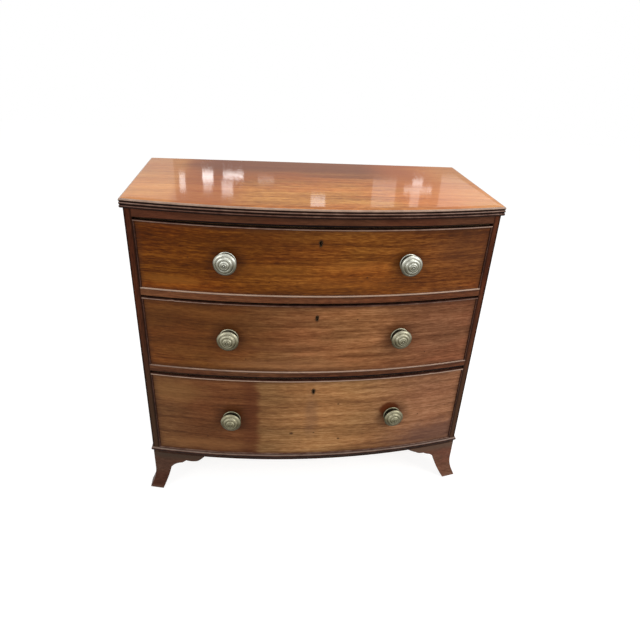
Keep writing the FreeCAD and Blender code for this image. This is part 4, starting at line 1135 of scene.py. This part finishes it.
# Pale on worn crowns and where light from above falls; black, as old polish and painted shade, in the neck,
# on the plate's face and under the head.
KNOB_STRETCHES = [  # radius and height where each stretch ends, its bulge, how pale it is painted there
    ((3.0, -22.05), 0.0, 0.3), ((3.0, 0.0), 0.0, 0.3), ((23.8, 0.0), 0.0, 0.3),
    ((24.6, 1.2), 0.2, 0.6), ((23.8, 2.6), 0.3, 0.9), ((22.2, 3.2), 0.1, 0.10),
    ((16.6, 4.4), 0.3, 0.02), ((15.8, 3.4), 0.0, 0.0), ((11.2, 3.8), 0.0, 0.0),
    ((9.8, 12.0), -0.8, 0.0), ((13.5, 13.6), 0.3, 0.0), ((24.6, 16.0), -0.4, 0.05),
    ((27.4, 18.6), 0.9, 0.55), ((27.0, 20.4), 0.3, 0.70), ((21.9, 24.0), 0.5, 0.80),
    ((20.9, 24.1), -0.2, 0.60), ((20.1, 25.3), -0.1, 0.70), ((13.3, 28.9), 1.5, 0.90),
    ((12.4, 28.5), -0.2, 0.60), ((11.7, 29.5), -0.1, 0.70), ((7.6, 31.4), 0.7, 0.90),
    ((6.8, 31.1), -0.2, 0.60), ((6.2, 31.9), -0.1, 0.70), ((3.4, 32.4), 0.3, 0.75),
    ((2.3, 31.0), -0.1, 0.00), ((1.3, 33.2), 0.2, 1.0), ((0.02, 33.4), 0.0, 1.0),
]
TURNS = 72
STRETCH_STEPS = 6


def knob_profile():
    """Points (radius, height) of the profile, shank's end to tip, and their painted wear and light."""
    start, start_wear_and_light = np.array(SHANK_END), SHANK_WEAR_AND_LIGHT
    points, wear_and_light = [start[None, :]], [np.array([start_wear_and_light])]
    t = np.linspace(0, 1, STRETCH_STEPS + 1)[1:, None]
    for end, bulge, end_wear_and_light in KNOB_STRETCHES:
        end = np.array(end)
        chord = end - start
        normal = np.array([chord[1], -chord[0]]) / np.linalg.norm(chord)
        points.append(start + t * chord + 4 * bulge * t * (1 - t) * normal)
        wear_and_light.append(start_wear_and_light + t[:, 0] * (end_wear_and_light - start_wear_and_light))
        start, start_wear_and_light = end, end_wear_and_light
    return np.concatenate(points) * MM, np.concatenate(wear_and_light)


def knob_loops(profile, x, z):
    """The profile turned about the bow's normal at (x, z)."""
    turn = np.linspace(0, 2 * math.pi, TURNS, endpoint=False)
    lean = math.asin(x / BOW_RADIUS)
    out = np.array([math.sin(lean), -math.cos(lean), 0.0])
    sideways = np.array([math.cos(lean), math.sin(lean), 0.0])
    upward = np.array([0.0, 0.0, 1.0])
    root = np.array([x, float(bow_y(x)), z])
    radius, height = profile[:, 0, None, None], profile[:, 1, None, None]
    ring = np.cos(turn)[None, :, None] * sideways + np.sin(turn)[None, :, None] * upward
    return root + radius * ring + height * out


profile, profile_wear_and_light = knob_profile()
print(f"knob profile of {len(profile)} points, {profile[:, 1].max() / MM:.1f} mm high")

# %% Knobs
KNOB_CREASE = 50.0                  # degrees: the rings' hollows stay sharp, their crowns smooth
for drawer in DRAWERS:
    for hand, (x, z) in zip(("left", "right"), knob_places(drawer)):
        name = f"{drawer}_knob_{hand}"
        mesh = loops_mesh(name, knob_loops(profile, x, z))
        write_rubbed_and_lit(mesh, np.repeat(profile_wear_and_light, TURNS))
        place_piece(name, mesh, f"{drawer}_drawer", knob_brasses[drawer],
                    [f"{drawer}_drawer_knobs"], KNOB_CREASE)

# %% [markdown]
# ## Screws
#
# Each lock is held by four iron screws, and each drawer bottom by five more, driven up into the
# drawer's back. They show when a drawer is open. A head is a disc cut into slices across its
# slot: a slice is as wide as the circle's chord, 2 sqrt(1 - t²) radii, and lower in the slot.

# %% Screw heads
SCREW_RADIUS = 3.2 * MM
SCREW_HEIGHT = 0.8 * MM
SLOT_HALF, SLOT_FLOOR = 0.19, 0.3   # as shares of the radius and the height
SUNK = 0.25                         # how far a head reaches into the wood, as a share of its height
SLICES = np.array([-1.0, -0.93, -0.8, -0.6, -0.35, -0.2, -0.18, 0.18, 0.2, 0.35, 0.6, 0.8, 0.93, 1.0])


def screw_loops(centres, outwards, sideways, seed):
    """Slotted heads at the centres, each slot turned its own way."""
    turn = np.random.default_rng(seed).uniform(0, math.pi, (len(centres), 1))
    outwards, sideways = np.asarray(outwards, float), np.asarray(sideways, float)
    third = np.cross(outwards, sideways)
    slot = np.cos(turn) * sideways + np.sin(turn) * third
    over = np.cos(turn) * third - np.sin(turn) * sideways
    width = np.sqrt(np.maximum(1 - SLICES**2, 0.01))
    height = np.where(np.abs(SLICES) < SLOT_HALF, SLOT_FLOOR, 1.0)
    wide, tall = np.array([-1.0, 1.0, 1.0, -1.0]), np.array([-SUNK, -SUNK, 1.0, 1.0])
    lift = np.where(tall > 0, height[:, None], tall)
    steps = SCREW_RADIUS * SLICES[None, :, None, None] * over[:, None, None, :]
    steps = steps + SCREW_RADIUS * (width[:, None] * wide)[None, :, :, None] * slot[:, None, None, :]
    return np.asarray(centres)[:, None, None, :] + steps + SCREW_HEIGHT * lift[None, :, :, None] * outwards


def add_screws(drawer, part, centres, outwards, seed):
    """Puts screw heads at the centres on one part of a drawer."""
    name = f"{drawer}_{part}_screws"
    mesh = loops_mesh(name, screw_loops(centres, outwards, (1, 0, 0), seed))
    place_piece(name, mesh, f"{drawer}_drawer", iron)


print(f"screw heads {2 * SCREW_RADIUS / MM:.1f} mm wide")

# %% Screws
LOCK_INSET = 6 * MM                 # from the screws to the lock case's ends,
LOCK_FOOT, LOCK_HEAD = 7 * MM, 16 * MM    # its foot and its head
BOTTOM_SCREWS_X = np.linspace(-0.37, 0.37, 5)
for k, drawer in enumerate(DRAWERS):
    low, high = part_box(f"{drawer}_drawer_lock_case")
    ends, levels = (low.x + LOCK_INSET, high.x - LOCK_INSET), (low.z + LOCK_FOOT, high.z - LOCK_HEAD)
    add_screws(drawer, "lock", [(x, high.y, z) for x in ends for z in levels], (0, 1, 0), 90 + k)
    foot_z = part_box(f"{drawer}_drawer_bottom")[0].z
    back_low, back_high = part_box(f"{drawer}_drawer_back")
    middle_y = (back_low.y + back_high.y) / 2
    add_screws(drawer, "bottom", [(x, middle_y, foot_z) for x in BOTTOM_SCREWS_X], (0, 0, -1), 95 + k)

# %% [markdown]
# ## Finishes for the CAD boards
#
# The boards that need no new shape keep their CAD meshes and only take a finish. Rails and drawer
# fronts are pine faced with mahogany, so their material looks at the surface's direction: what
# looks forwards is mahogany, and the rest is bare wood.

# %% Board finishes
FEET = ("front_foot_left_front", "front_foot_left_end", "front_foot_right_front", "front_foot_right_end",
        "rear_foot_left", "rear_foot_right")
FINISHES = {
    **rail_woods, **dict.fromkeys(FEET, foot_wood), "bottom_board": base_wood,
    "side_left": side_wood, "side_right": side_wood, "stile_left": post_wood, "stile_right": post_wood,
    "back_boards": pine_back, "back_rail": pine, "upper_dust_board": pine, "lower_dust_board": pine,
    "runners_and_kickers": oak, "drawer_stops": pine, "foot_blocks": pine_upright,
}
DRAWER_FINISHES = {
    "side_left": oak, "side_right": oak, "back": oak_across, "bottom": pine, "knob_nuts": plain_brass,
    "lock_case": iron, "lock_bolt": iron, "escutcheon": dark_brass,
}
for drawer in DRAWERS:
    FINISHES[f"{drawer}_drawer_front"] = front_woods[drawer]
    for part, finish in DRAWER_FINISHES.items():
        FINISHES[f"{drawer}_drawer_{part}"] = finish
for node_name, finish in FINISHES.items():
    materials = nodes[node_name].data.materials
    materials.clear()
    materials.append(finish)
print(f"{len(FINISHES)} CAD boards finished")

# %% [markdown]
# ## The end

# The visual model has to stay as large as the CAD model.

# %% Finish
print("scene finished")
